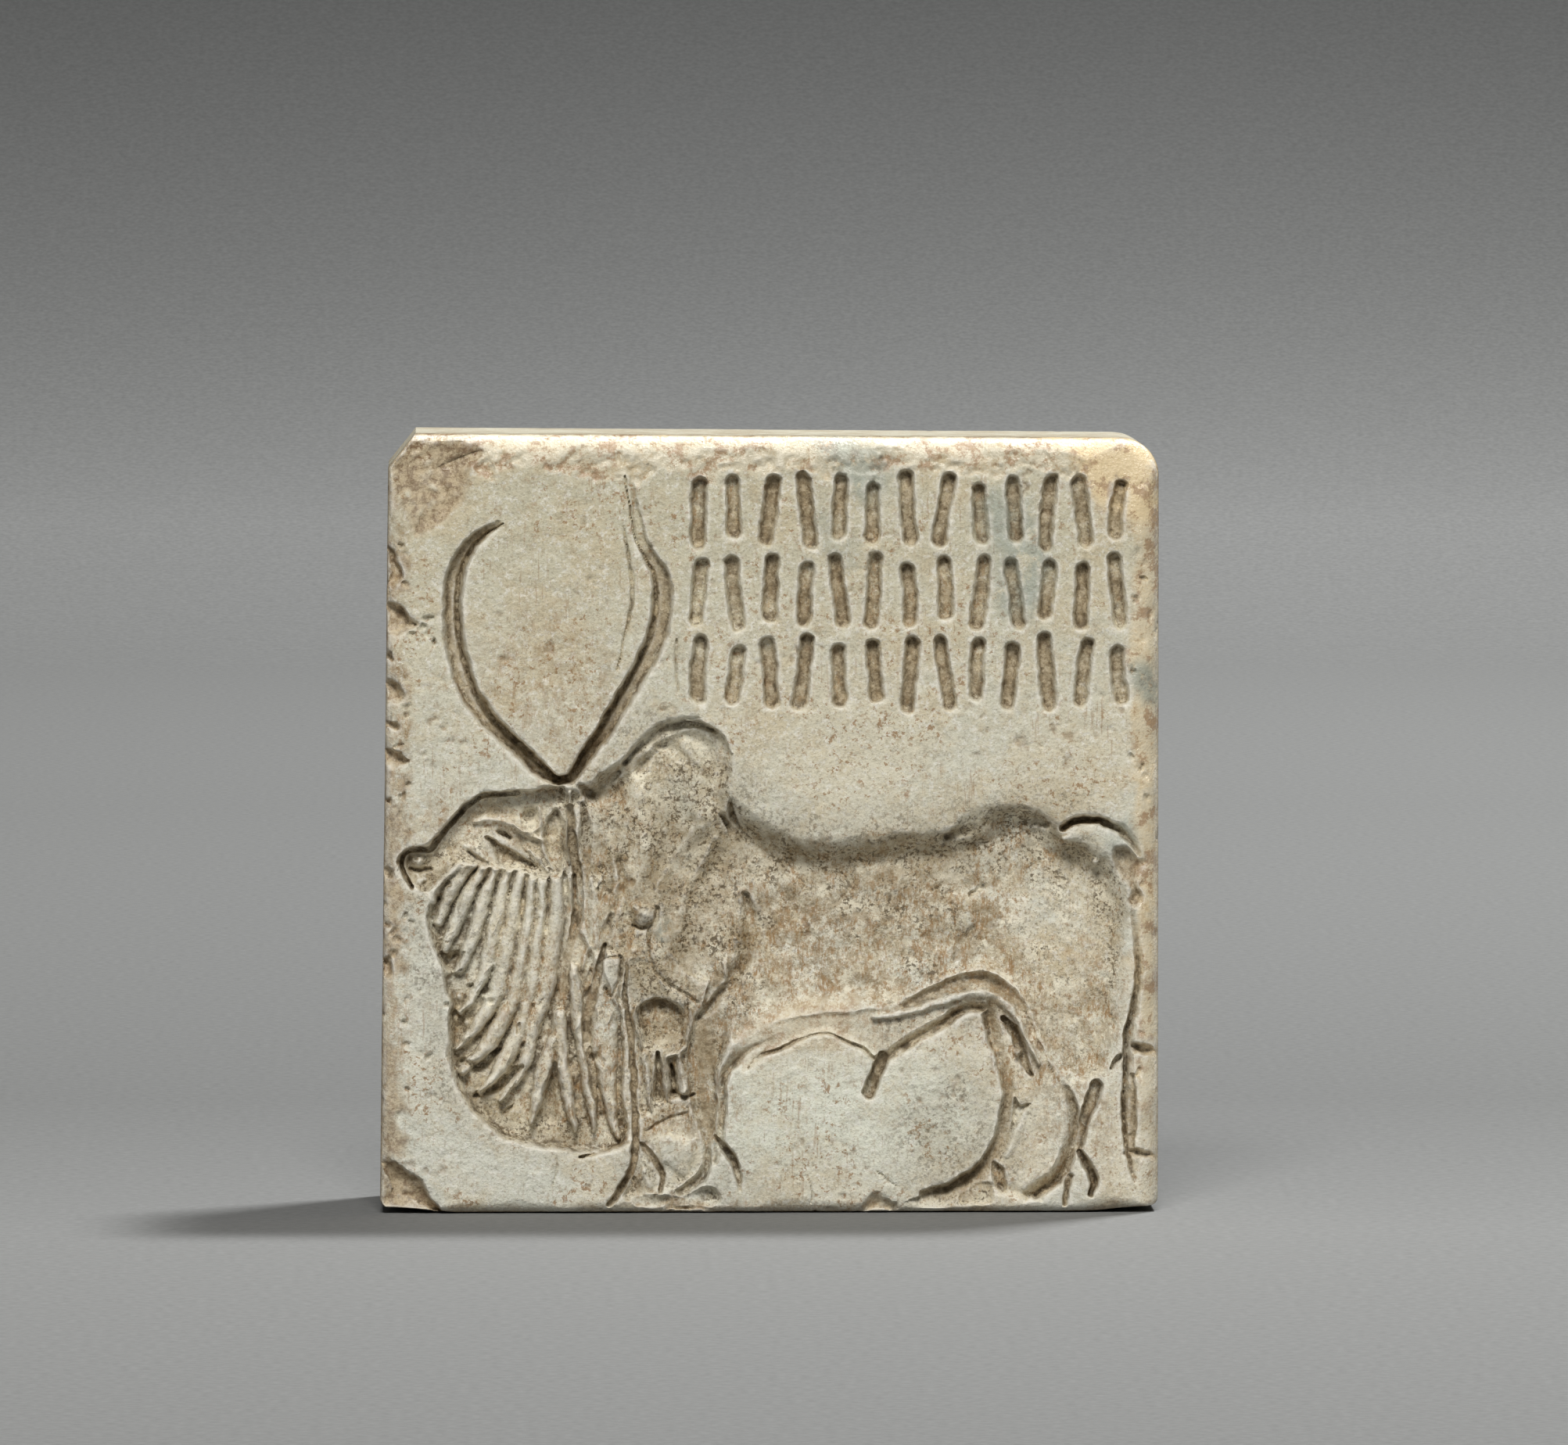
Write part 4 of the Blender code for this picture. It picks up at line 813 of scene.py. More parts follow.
def face_marks(face):
    """Shares over the face of soil, dirt and painted shade, of wear, polish and painted highlights, and of
    breaks
    """
    near = blurred(face.depth, round(5 / face.step))
    far = blurred(face.depth, round(20 / face.step))
    x, z = face.x, face.z

    def band(over, stray, size, soft, seed):
        """Band along an edge, with a wavy border"""
        return ease((over + stray * (cloud(x, z, size, SEED + seed) - 0.5)) / soft)

    def flocks(size, seed):
        """Places where crumbs and flakes crowd"""
        return ease(3.0 * cloud(x, z, size, SEED + seed) - 0.9)

    top = worn_top(x, z)
    right = band(x - RIGHT_POLISH_FROM, 34.0, 34.0, 12.0, 22) * ease((z + 20.0) / 300.0)
    from_corner = np.hypot(HALF_FACE - x, FACE - z)
    corner = ease((CORNER_POLISH - from_corner + 50.0 * cloud(x, z, 30.0, SEED + 23)) / 30.0)
    left = 0.5 * band(LEFT_POLISH_TO - x, 24.0, 34.0, 10.0, 24)
    foot = band(FOOT_CRUMBS_TO - z, 22.0, 14.0, 6.0, 29) * flocks(40.0, 30)
    flaked = band(LEFT_FLAKES_TO - x, 44.0, 16.0, 8.0, 26) * flocks(50.0, 27)
    # Polish with a painted highlight along the belly: the trunk's lower lip, which faces up, made pale and
    # glossy
    off_belly = np.abs(z - 216.0 - 0.42 * (x + 40.0) + 0.0013 * (x + 40.0) ** 2)
    belly = 0.6 * ease(2.0 - off_belly / 16.0 + cloud(x, z, 20.0, SEED + 25))
    belly = belly * ease(1.6 - np.abs(x - 40.0) / 70.0)
    return {
        "hollow": np.clip(face.depth, 0.0, 1.2),
        # Painted shade with grime: darker where the carving lies deeper than close by, in narrow corners of
        # cuts
        "grime_and_shade": np.clip((face.depth - near - 0.015) / 0.09, 0.0, 1.0),
        # Painted shade with earth: darker where the carving lies deeper than its wider surroundings
        "earth_and_shade": np.clip((face.depth - far - 0.04) / 0.3, 0.0, 1.0),
        "tooled": np.clip(face.tooled * (1.0 - face.broken), 0.0, 1.0),
        # Painted shadow with dirt: under the back line, down the shoulder, round the hump and in the crevices
        "soiled_and_shaded": face.area(SOILED_AND_SHADED),
        "stained": face.area(STAINED),
        "bluish": face.area(BLUISH),
        "pale": face.area(PALE),
        "amber": np.maximum(corner, 0.35 * right),
        # Painted highlight with wear: lighter where the carving's lips stand above their near surroundings
        "rubbed_and_highlit": np.clip((near - face.depth - 0.008) / 0.06, 0.0, 1.0),
        "broken": np.maximum.reduce([face.broken, 0.8 * flaked, 0.8 * foot]),
        "polished_and_highlit": np.maximum.reduce([top, right, corner, left, belly]),
    }


def round_corner(z, radius, corner):
    """How far a side gives way at the height z to a round corner at the given height"""
    over = np.clip(radius - np.abs(corner - z), 0.0, radius)
    return radius - np.sqrt(radius ** 2 - over ** 2)


def face_places(shares_x, shares_z):
    """Places on the face in metres, with the tile's leaning side, cut corner and round corners"""
    z = shares_z * (FACE_HEIGHT - TOP_EDGE_FALL * (0.5 + shares_x))
    end = (2 * np.abs(shares_x) - FOOT_FLAT_SHARE) / (1.0 - FOOT_FLAT_SHARE)
    z = z + FOOT_END_LIFT * ease(end) * (1.0 - shares_z)
    level = shares_z * FACE_HEIGHT
    left = -FACE_WIDTH / 2 + LEFT_SIDE_LEAN * shares_z
    left = left + round_corner(level, LOWER_CORNER_RADIUS, 0.0)
    left = left + CHAMFER_SLOPE * np.clip(level - FACE_HEIGHT + UPPER_LEFT_CHAMFER, 0.0, None)
    right = FACE_WIDTH / 2 - round_corner(level, LOWER_CORNER_RADIUS, 0.0)
    right = right - round_corner(level, UPPER_RIGHT_RADIUS, FACE_HEIGHT)
    return left + (right - left) * (shares_x + 0.5), z


def tile_places(face, rings):
    """Places of a grid whose middle is the face and whose outer rings fold over the sides and the back"""
    cells = face.depth.shape[0] - 1
    index = np.arange(cells + 2 * rings + 1) - rings
    column, row = np.meshgrid(index, index)
    ring = np.maximum(np.maximum(-column, column - cells), np.maximum(-row, row - cells))
    column = np.clip(column, 0, cells)
    row = np.clip(row, 0, cells)
    x, z = face_places(column / cells - 0.5, row / cells)
    rim = FACE_Y + face.depth[row, column] * CARVING_DEPTH
    along = np.clip(ring / SIDE_RINGS, 0.0, 1.0)
    y = rim + (BACK_Y - BACK_EDGE_RADIUS - rim) * along
    turn = np.clip((ring - SIDE_RINGS) / BACK_EDGE_STEPS, 0.0, 1.0) * np.pi / 2
    inset = BACK_EDGE_RADIUS * (1.0 - np.cos(turn))
    y = y + BACK_EDGE_RADIUS * np.sin(turn)
    x = x - inset * x / (FACE_WIDTH / 2)
    z = z - inset * (z - FACE_HEIGHT / 2) / (FACE_HEIGHT / 2)
    over_back = np.clip((ring - SIDE_RINGS - BACK_EDGE_STEPS) / BACK_RINGS, 0.0, 1.0)
    shrunk = 1.0 - (1.0 - BACK_RINGS_END) * over_back
    x = x * shrunk
    z = FACE_HEIGHT / 2 + (z - FACE_HEIGHT / 2) * shrunk
    return np.dstack([x, y, z]), (row, column, ring)


def tile_mesh(face, marks):
    """The tile as one closed mesh, with the face's marks fading over its sides"""
    cells = face.depth.shape[0] - 1
    rings = SIDE_RINGS + BACK_EDGE_STEPS + BACK_RINGS
    places, (row, column, ring) = tile_places(face, rings)
    across = places.shape[0]
    names = np.arange(across * across).reshape(across, across)
    at_corner = ((row == 0) | (row == cells)) & ((column == 0) | (column == cells)) & (ring > 0)
    stand_in = (row > 0) * 2 + (column > 0) + 4 * ring
    _, first, back = np.unique(stand_in[at_corner], return_index=True, return_inverse=True)
    names[at_corner] = names[at_corner][first][back.ravel()]
    quads = np.dstack([names[:-1, :-1], names[:-1, 1:], names[1:, 1:], names[1:, :-1]])
    block = np.arange(across - 1)
    outer = (block < rings) | (block >= rings + cells)
    quads = quads[~(outer[:, None] & outer[None, :])].reshape(-1, 4)
    end = across - 1
    lap = np.concatenate([names[0, rings:end - rings], names[rings:end - rings, end],
                          names[end, rings + 1:end - rings + 1][::-1],
                          names[rings + 1:end - rings + 1, 0][::-1]])
    middle = across * across
    fan = np.column_stack([np.roll(lap, -1), lap, np.full(len(lap), middle)])
    used, quads_and_fan = np.unique(np.concatenate([quads.ravel(), fan.ravel()]), return_inverse=True)
    all_places = np.vstack([places.reshape(-1, 3), [(0.0, BACK_Y, FACE_HEIGHT / 2)]])[used]
    quad_count = quads.size
    corners = quads_and_fan.ravel()
    mesh = bpy.data.meshes.new("tile")
    mesh.vertices.add(len(all_places))
    mesh.vertices.foreach_set("co", all_places.astype(np.float32).ravel())
    mesh.loops.add(len(corners))
    mesh.loops.foreach_set("vertex_index", corners.astype(np.int32))
    starts = np.concatenate([np.arange(0, quad_count, 4), np.arange(quad_count, len(corners), 3)])
    mesh.polygons.add(len(starts))
    mesh.polygons.foreach_set("loop_start", starts.astype(np.int32))
    mesh.update(calc_edges=True)
    fade = np.clip(1.0 - ring / (0.35 * SIDE_RINGS), 0.0, 1.0)
    front = np.clip(1.0 - ring / 3.0, 0.0, 1.0)
    for name, share in {**marks, "front": None}.items():
        values = front if share is None else share[row, column] * fade
        values = np.append(values.ravel(), 0.0)[used]
        mesh.attributes.new(name, "FLOAT", "POINT").data.foreach_set("value", values.astype(np.float32))
    mesh.validate()
    return mesh


def boss_profile():
    """Half outline of the boss round its side-to-side axis, with the crest groove at its waist"""
    radius = BOSS_DIAMETER / 2
    groove = CREST_GROOVE_WIDTH / 2
    lip = 2 * np.arcsin(groove / (2 * radius))
    slope = np.linspace(0.0, np.pi / 2 - lip, BOSS_STEPS)
    shoulder = [(radius * np.sin(a), radius * np.cos(a)) for a in slope]
    reach = np.pi / 2 - lip / 2
    round_waist = np.linspace(reach, -reach, GROOVE_STEPS)[1:-1]
    waist = [(radius - groove * np.cos(a), groove * np.sin(a)) for a in round_waist]
    return shoulder + waist + [(out, -along) for out, along in reversed(shoulder)]


def applied(thing):
    """The thing's mesh with its modifiers in it"""
    bpy.context.view_layer.update()
    return bpy.data.meshes.new_from_object(thing.evaluated_get(bpy.context.evaluated_depsgraph_get()))


def bake_modifiers(thing):
    """Puts the thing's modifiers into its mesh"""
    mesh = applied(thing)
    thing.modifiers.clear()
    old = thing.data
    thing.data = mesh
    bpy.data.meshes.remove(old)


def linear(text):
    """Linear colour of an sRGB hex value"""
    channels = [int(text[k:k + 2], 16) / 255 for k in (1, 3, 5)]
    return tuple(c / 12.92 if c <= 0.04045 else ((c + 0.055) / 1.055) ** 2.4 for c in channels) + (1.0,)


def add_node(tree, kind, inputs, **settings):
    """Adds a node with its settings; each input takes a value, an output, or a node for its first output"""
    node = tree.nodes.new(kind)
    for name, value in settings.items():
        setattr(node, name, value)
    for name, value in inputs.items():
        value = value.outputs[0] if isinstance(value, bpy.types.Node) else value
        if isinstance(value, bpy.types.NodeSocket):
            tree.links.new(value, node.inputs[name])
        else:
            node.inputs[name].default_value = value
    return node


def weathering_tree():
    """Node tree that sinks fine grain, gentle unevenness and scattered pits into a stone's surface"""
    tree = bpy.data.node_groups.new("Weathered stone", "GeometryNodeTree")
    tree.interface.new_socket("Geometry", in_out="OUTPUT", socket_type="NodeSocketGeometry")
    tree.interface.new_socket("Geometry", in_out="INPUT", socket_type="NodeSocketGeometry")
    for name in ("Grain Size", "Grain Depth", "Wave Size", "Wave Depth", "Pit Spacing", "Pit Depth"):
        tree.interface.new_socket(name, in_out="INPUT", socket_type="NodeSocketFloat")
    tree.interface.new_socket("Seed", in_out="INPUT", socket_type="NodeSocketInt")
    tree.interface.new_socket("Material", in_out="INPUT", socket_type="NodeSocketMaterial")
    given = add_node(tree, "NodeGroupInput", {}).outputs
    place = add_node(tree, "GeometryNodeInputPosition", {})
    clouds = []
    for width, detail, shift in ((given["Grain Size"], 3.0, 0.0), (given["Wave Size"], 2.0, 3.0),
                                 (given["Pit Spacing"], 2.0, 6.0), (PIT_FLOCK_SPACING, 3.0, 9.0)):
        scale = add_node(tree, "ShaderNodeMath", {0: 1.0, 1: width}, operation="DIVIDE")
        seed = add_node(tree, "ShaderNodeMath", {0: given["Seed"], 1: shift}, operation="ADD")
        noise = {"Vector": place, "Scale": scale, "Detail": detail, "W": seed}
        clouds.append(add_node(tree, "ShaderNodeTexNoise", noise, noise_dimensions="4D"))
    grain, wave, pit, flock = clouds
    grain = add_node(tree, "ShaderNodeMath", {0: grain, 1: given["Grain Depth"]}, operation="MULTIPLY")
    wave = add_node(tree, "ShaderNodeMath", {0: wave, 1: given["Wave Depth"]}, operation="MULTIPLY")
    pit = add_node(tree, "ShaderNodeMapRange", {"Value": pit, "From Min": 0.6, "From Max": 0.68},
                   interpolation_type="SMOOTHSTEP")
    flock = add_node(tree, "ShaderNodeMapRange", {"Value": flock, "From Min": 0.5, "From Max": 0.62},
                     interpolation_type="SMOOTHSTEP")
    pits = add_node(tree, "ShaderNodeMath", {0: pit, 1: flock}, operation="MULTIPLY")
    even = add_node(tree, "ShaderNodeMath", {0: grain, 1: wave}, operation="ADD")
    depth = add_node(tree, "ShaderNodeMath", {0: pits, 1: given["Pit Depth"], 2: even},
                     operation="MULTIPLY_ADD")
    inward = add_node(tree, "ShaderNodeMath", {0: depth, 1: -1.0}, operation="MULTIPLY")
    outward = add_node(tree, "GeometryNodeInputNormal", {})
    offset = add_node(tree, "ShaderNodeVectorMath", {0: outward, "Scale": inward}, operation="SCALE")
    moved = add_node(tree, "GeometryNodeSetPosition", {"Geometry": given["Geometry"], "Offset": offset})
    marked = add_node(tree, "GeometryNodeStoreNamedAttribute",
                      {"Geometry": moved, "Name": "pits", "Value": pits}, data_type="FLOAT", domain="POINT")
    real = add_node(tree, "GeometryNodeRealizeInstances", {"Geometry": marked})
    dressed = add_node(tree, "GeometryNodeSetMaterial", {"Geometry": real, "Material": given["Material"]})
    add_node(tree, "NodeGroupOutput", {"Geometry": dressed})
    return tree


def weather(stone, material, settings):
    """Weathers the stone's surface with the node tree"""
    tree = weathering_tree()
    modifier = stone.modifiers.new("weathered", "NODES")
    modifier.node_group = tree
    values = {"Grain Size": settings.grain_size, "Grain Depth": settings.grain_depth, "Wave Size": WAVE_SIZE,
              "Wave Depth": WAVE_DEPTH, "Pit Spacing": settings.pit_spacing, "Pit Depth": settings.pit_depth,
              "Seed": SEED, "Material": material}
    for item in tree.interface.items_tree:
        if item.in_out == "INPUT" and item.name in values:
            modifier[item.identifier] = values[item.name]
    bake_modifiers(stone)


def turned_boss():
    """Domed boss, turned with a groove over its crest"""
    profile = boss_profile()
    crest = max(out for out, _ in profile)
    places = [(out, 0.0, along) for out, along in profile]
    edges = [(k, k + 1) for k in range(len(profile) - 1)]
    mesh = bpy.data.meshes.new("boss")
    mesh.from_pydata(places, edges, [])
    boss = bpy.data.objects.new("boss", mesh)
    bpy.context.scene.collection.objects.link(boss)
    boss.location = (0.0, BACK_Y - BOSS_ROOT, FACE_HEIGHT / 2)
    boss.rotation_euler.y = np.pi / 2
    boss.scale.y = (BOSS_HEIGHT + BOSS_ROOT) / crest
    turn = boss.modifiers.new("turned", "SCREW")
    turn.steps = BOSS_TURN_STEPS
    turn.render_steps = BOSS_TURN_STEPS
    turn.use_merge_vertices = True
    turn.merge_threshold = MERGE_DISTANCE
    bake_modifiers(boss)
    return boss


def cord_drill():
    """Cylinder that drills the hole for the cord from side to side"""
    bpy.ops.mesh.primitive_cylinder_add(vertices=CORD_HOLE_SIDES, radius=CORD_HOLE_DIAMETER / 2,
                                        depth=CUTTER_REACH * BOSS_DIAMETER)
    drill = bpy.context.object
    drill.name = "cord drill"
    drill.rotation_euler.y = np.pi / 2
    drill.location = (0.0, BACK_Y + (BOSS_HEIGHT - CREST_GROOVE_WIDTH / 2) / 2, FACE_HEIGHT / 2)
    return drill


def combine(thing, tool, operation):
    """Joins a tool to the thing or cuts it out, and takes the tool away"""
    change = thing.modifiers.new("combined", "BOOLEAN")
    change.operation = operation
    change.object = tool
    bake_modifiers(thing)
    bpy.data.objects.remove(tool)
    if not thing.data.polygons:
        raise RuntimeError(f"nothing is left of {thing.name} after {operation}")


def clear_back(stone):
    """Clears the face's marks from the back half of the stone, where the joining leaves stray values"""
    mesh = stone.data
    count = len(mesh.vertices)
    places = np.empty(3 * count, np.float32)
    mesh.vertices.foreach_get("co", places)
    behind = places[1::3] > FACE_Y + TILE_THICKNESS / 2
    for mark in mesh.attributes:
        if mark.data_type == "FLOAT" and mark.domain == "POINT":
            values = np.empty(count, np.float32)
            mark.data.foreach_get("value", values)
            values[behind] = 0.0
            mark.data.foreach_set("value", values)


class Finish:
    """Node tree of one material, laid out over the object's own places, with the marks on its mesh"""

    def __init__(self, name, marks=()):
        self.material = bpy.data.materials.new(name)
        self.material.use_nodes = True
        self.tree = self.material.node_tree
        self.shader = self.tree.nodes["Principled BSDF"]
        self.place = add_node(self.tree, "ShaderNodeTexCoord", {}).outputs["Object"]
        self.along = add_node(self.tree, "ShaderNodeSeparateXYZ", {0: self.place}).outputs
        self.marks = {mark: add_node(self.tree, "ShaderNodeAttribute", {}, attribute_name=mark).outputs["Fac"]
                      for mark in marks}

    def spots(self, millimetres, detail, roughness, low, high, turn=None):
        """Spots so many millimetres wide, where a noise rises from the low value to the high one

        A turn is an angle in the plane of the face and a stretch, for spots drawn out into strokes.
        """
        place = self.place
        if turn:
            spin = {"Vector": place, "Rotation": (0.0, np.radians(turn[0]), 0.0), "Scale": turn[1]}
            place = add_node(self.tree, "ShaderNodeMapping", spin)
        noise = {"Vector": place, "Scale": 1000.0 / millimetres, "Detail": detail, "Roughness": roughness}
        cloud_of_spots = add_node(self.tree, "ShaderNodeTexNoise", noise)
        rise = {"Value": cloud_of_spots, "From Min": low, "From Max": high}
        return add_node(self.tree, "ShaderNodeMapRange", rise, interpolation_type="SMOOTHSTEP")

    def share(self, *products):
        """Share between 0 and 1, worked out as the sum of some products"""
        whole = None
        for factors in products:
            product = factors[0]
            for factor in factors[1:]:
                product = add_node(self.tree, "ShaderNodeMath", {0: product, 1: factor},
                                   operation="MULTIPLY", use_clamp=True)
            if whole is None:
                whole = product
            else:
                whole = add_node(self.tree, "ShaderNodeMath", {0: whole, 1: product},
                                 operation="ADD", use_clamp=True)
        return whole

    def laid(self, under, over, *shares):
        """A colour with another laid over it, as thick as the product of some shares"""
        under, over = [linear(tone) if isinstance(tone, str) else tone for tone in (under, over)]
        return add_node(self.tree, "ShaderNodeMix", {0: self.share(shares), 6: under, 7: over},
                        data_type="RGBA").outputs[2]


def pale_coat(stone, colours):
    """Pale kiln coat in two casts, warmer at the top and whiter under the belly, thin over the tan body"""
    marks = stone.marks
    low, high = WARM_COAT_HEIGHTS
    coat = stone.laid(colours.coat_cool, colours.coat_warm, stone.spots(6.0, 6.0, 0.6, 0.42, 0.58))
    upper = add_node(stone.tree, "ShaderNodeMapRange",
                     {"Value": stone.along["Z"], "From Min": low, "From Max": high})
    coat = stone.laid(coat, "#D3CCB0", upper, 0.9)
    coat = stone.laid(coat, "#F4F5E3", marks["pale"])
    coat = stone.laid(coat, colours.body, stone.spots(2.4, 9.0, 0.75, 0.46, 0.62), 0.45)
    return stone.laid(coat, colours.body, stone.spots(3.6, 9.0, 0.75, 0.42, 0.58), marks["sunk"], 0.6)


def talc_grain(stone, colour):
    """Dark and light grain of the talc, 0.1 to 0.2 mm across and harsher in the hollows"""
    harsh = stone.share((stone.marks["sunk"], 0.4), (0.4,))
    colour = stone.laid(colour, "#94866A", stone.spots(0.13, 4.0, 0.75, 0.5, 0.64), harsh)
    return stone.laid(colour, "#FFFDF4", stone.spots(0.2, 4.0, 0.75, 0.5, 0.66), 0.55)


def rusty_flecks(stone, colours, colour, flecks):
    """Rusty flecks in flocks, and short scratches up and down"""
    flock = stone.share((stone.spots(3.0, 7.0, 0.72, 0.45, 0.6),), (0.2,))
    colour = stone.laid(colour, colours.rust, flecks, flock, 0.8)
    hairs = stone.spots(0.14, 4.0, 0.6, 0.58, 0.66, (4.0, (1.0, 1.0, 0.07)))
    return stone.laid(colour, colours.rust, hairs, stone.spots(3.5, 4.0, 0.6, 0.46, 0.6), 0.4)


def earth_stains(stone, colours, colour):
    """Brush-like stains of soil over the hollows, with pale spots and brown blotches"""
    marks = stone.marks
    patch = stone.spots(5.0, 5.0, 0.6, 0.46, 0.58)
    brushed = stone.share((patch, marks["sunk"]), (marks["stained"], 0.9))
    strokes = stone.spots(0.6, 8.0, 0.8, 0.48, 0.55, (38.0, (1.5, 1.0, 0.8)))
    scratched = stone.spots(0.2, 4.0, 0.7, 0.38, 0.56, (46.0, (2.0, 1.0, 0.5)))
    colour = stone.laid(colour, colours.stain, strokes, brushed, scratched, 0.9)
    colour = stone.laid(colour, "#F7EFD6", stone.spots(1.1, 8.0, 0.78, 0.52, 0.58), marks["carved"], 0.9)
    blotched = stone.share((marks["sunk"], patch, 0.5), (marks["stained"],))
    return stone.laid(colour, "#90754A", stone.spots(0.7, 6.0, 0.78, 0.49, 0.56), blotched, 0.52)


def veil_of_dirt_and_shadow(stone, colour):
    """Veil of dirt and painted shadow over the soiled areas, and black specks densest there and in the
    hollows
    """
    marks = stone.marks
    soiled_and_shaded = stone.share((marks["soiled_and_shaded"], stone.share((marks["dipped"],), (0.55,))))
    # Painted shadow with dirt: a brown veil over those areas, heavier in the hollows
    colour = stone.laid(colour, "#958360", soiled_and_shaded, stone.spots(1.6, 8.0, 0.75, 0.34, 0.6), 0.6)
    in_hollows = stone.share((marks["sunk"], 0.8), (0.16,))
    # Black specks crowd in the hollows and under the veil of painted shadow
    crowd = stone.share((stone.spots(2.2, 7.0, 0.72, 0.46, 0.6), in_hollows), (soiled_and_shaded,))
    crowd = stone.share((crowd, stone.spots(0.9, 6.0, 0.8, 0.42, 0.55)))
    return stone.laid(colour, "#52401F", stone.spots(0.16, 3.0, 0.7, 0.505, 0.56), crowd, 0.86)


def handled_edges(stone, colours, colour):
    """Sugary amber polish on the handled edges, stained red brown, and bluish grey growth beside it

    Along the lower lip of the belly the pale polish is partly a painted highlight.
    """
    marks = stone.marks
    amber = stone.laid(colours.amber, "#D8C6A2", stone.spots(0.6, 8.0, 0.8, 0.46, 0.58))
    amber = stone.laid(amber, "#F6DCAC", marks["amber"], 0.85)
    amber = stone.laid(amber, "#A67E5C", stone.spots(1.2, 9.0, 0.8, 0.52, 0.56), 0.7)
    # Amber polish, and along the belly a painted highlight
    colour = stone.laid(colour, amber, marks["polished_and_highlit"], 0.9)
    return stone.laid(colour, "#9DA9A0", marks["bluish"], stone.spots(0.9, 8.0, 0.75, 0.36, 0.5), 0.85)


def breaks_and_cuts(stone, colours, colour):
    """Brown body in the old breaks, an even film of soil on the tool's cuts, and painted light over the
    carving

    Soil, dirt and painted shade lie in the recesses and in the corners of the cuts, and painted highlights on
    raised lips.
    """
    marks = stone.marks
    rough_body = stone.laid("#CDB996", "#84694B", stone.spots(0.3, 6.0, 0.8, 0.42, 0.6))
    colour = stone.laid(colour, rough_body, marks["broken"], 0.85)
    film = stone.laid("#B09F80", "#8A7858", stone.spots(0.25, 5.0, 0.75, 0.42, 0.62))
    colour = stone.laid(colour, film, marks["tooled"], stone.spots(2.2, 8.0, 0.75, 0.38, 0.56), 0.8)
    # Painted shade with earth in the recesses of the carving, as between the rolls of the throat
    colour = stone.laid(colour, colours.earth_and_shade, marks["earth_and_shade"], stone.spots(0.5, 7.0, 0.8, 0.4, 0.6), 0.6)
    colour = stone.laid(colour, "#8A6E4C", marks["pits"], 0.6)
    # Painted shade and grime in the narrow corners of the cuts
    colour = stone.laid(colour, colours.grime_and_shade, marks["grime_and_shade"], stone.spots(0.5, 7.0, 0.8, 0.42, 0.6), 0.75)
    # Painted highlight on the raised lips, partly worn clean
    return stone.laid(colour, "#FBF7EA", marks["rubbed_and_highlit"], stone.spots(0.5, 7.0, 0.8, 0.38, 0.56), 0.7)


def stone_material(colours):
    """Fired steatite with a worn pale coat

    The talc body was cut with a hard point, coated pale in the kiln, buried and handled. To the eye the coat
    is matt, cream and full of brown specks, the cuts hold brown soil and black dirt, and the handled edges
    are glossy amber. Painted shade darkens the recesses and corners of the cuts and the shadowed parts of the
    figure, and painted highlights lighten raised lips and the lower lip of the belly.
    """
    stone = Finish("fired_steatite", STONE_MARKS)
    for name, low, high in HOLLOW_RANGES:
        rise = {"Value": stone.marks["hollow"], "From Min": low, "From Max": high}
        stone.marks[name] = add_node(stone.tree, "ShaderNodeMapRange", rise, interpolation_type="SMOOTHSTEP")
    flecks = stone.spots(0.24, 4.0, 0.7, 0.57, 0.61)
    colour = talc_grain(stone, pale_coat(stone, colours))
    colour = rusty_flecks(stone, colours, colour, flecks)
    colour = earth_stains(stone, colours, colour)
    colour = veil_of_dirt_and_shadow(stone, colour)
    colour = handled_edges(stone, colours, colour)
    colour = breaks_and_cuts(stone, colours, colour)
    # Sides, back and boss are plainer and a darker greenish grey than the face
    plain = stone.laid("#B2AE9B", "#9E957E", stone.spots(1.8, 9.0, 0.78, 0.42, 0.6))
    plain = stone.laid(plain, colours.rust, flecks, 0.4)
    colour = stone.laid(plain, colour, stone.marks["front"])
    stone.tree.links.new(colour, stone.shader.inputs["Base Color"])
    # Matt coat, glossier where it is polished
    rough = add_node(stone.tree, "ShaderNodeMapRange", {"Value": stone.marks["polished_and_highlit"],
                                                        "To Min": COAT_ROUGHNESS, "To Max": POLISH_ROUGHNESS})
    rough = stone.share((rough,), (stone.spots(0.5, 6.0, 0.8, 0.42, 0.6), 0.2))
    stone.tree.links.new(rough.outputs[0], stone.shader.inputs["Roughness"])
    stone.shader.inputs["IOR"].default_value = STEATITE_IOR
    fine, coarse = [add_node(stone.tree, "ShaderNodeTexNoise", {"Vector": stone.place, **noise})
                    for noise in FINEST_GRAINS]
    grain = stone.share((fine, 0.4), (coarse, 0.6))
    bump = add_node(stone.tree, "ShaderNodeBump", {"Height": grain, "Strength": 1.0,
                                                   "Distance": GRAIN_HEIGHT})
    stone.tree.links.new(bump.outputs["Normal"], stone.shader.inputs["Normal"])
    return stone.material


def tint(name, description, value):
    """Colour setting, with its default as an sRGB hex value"""
    return FloatVectorProperty(name=name, description=description, subtype="COLOR", size=4,
                               default=linear(value))


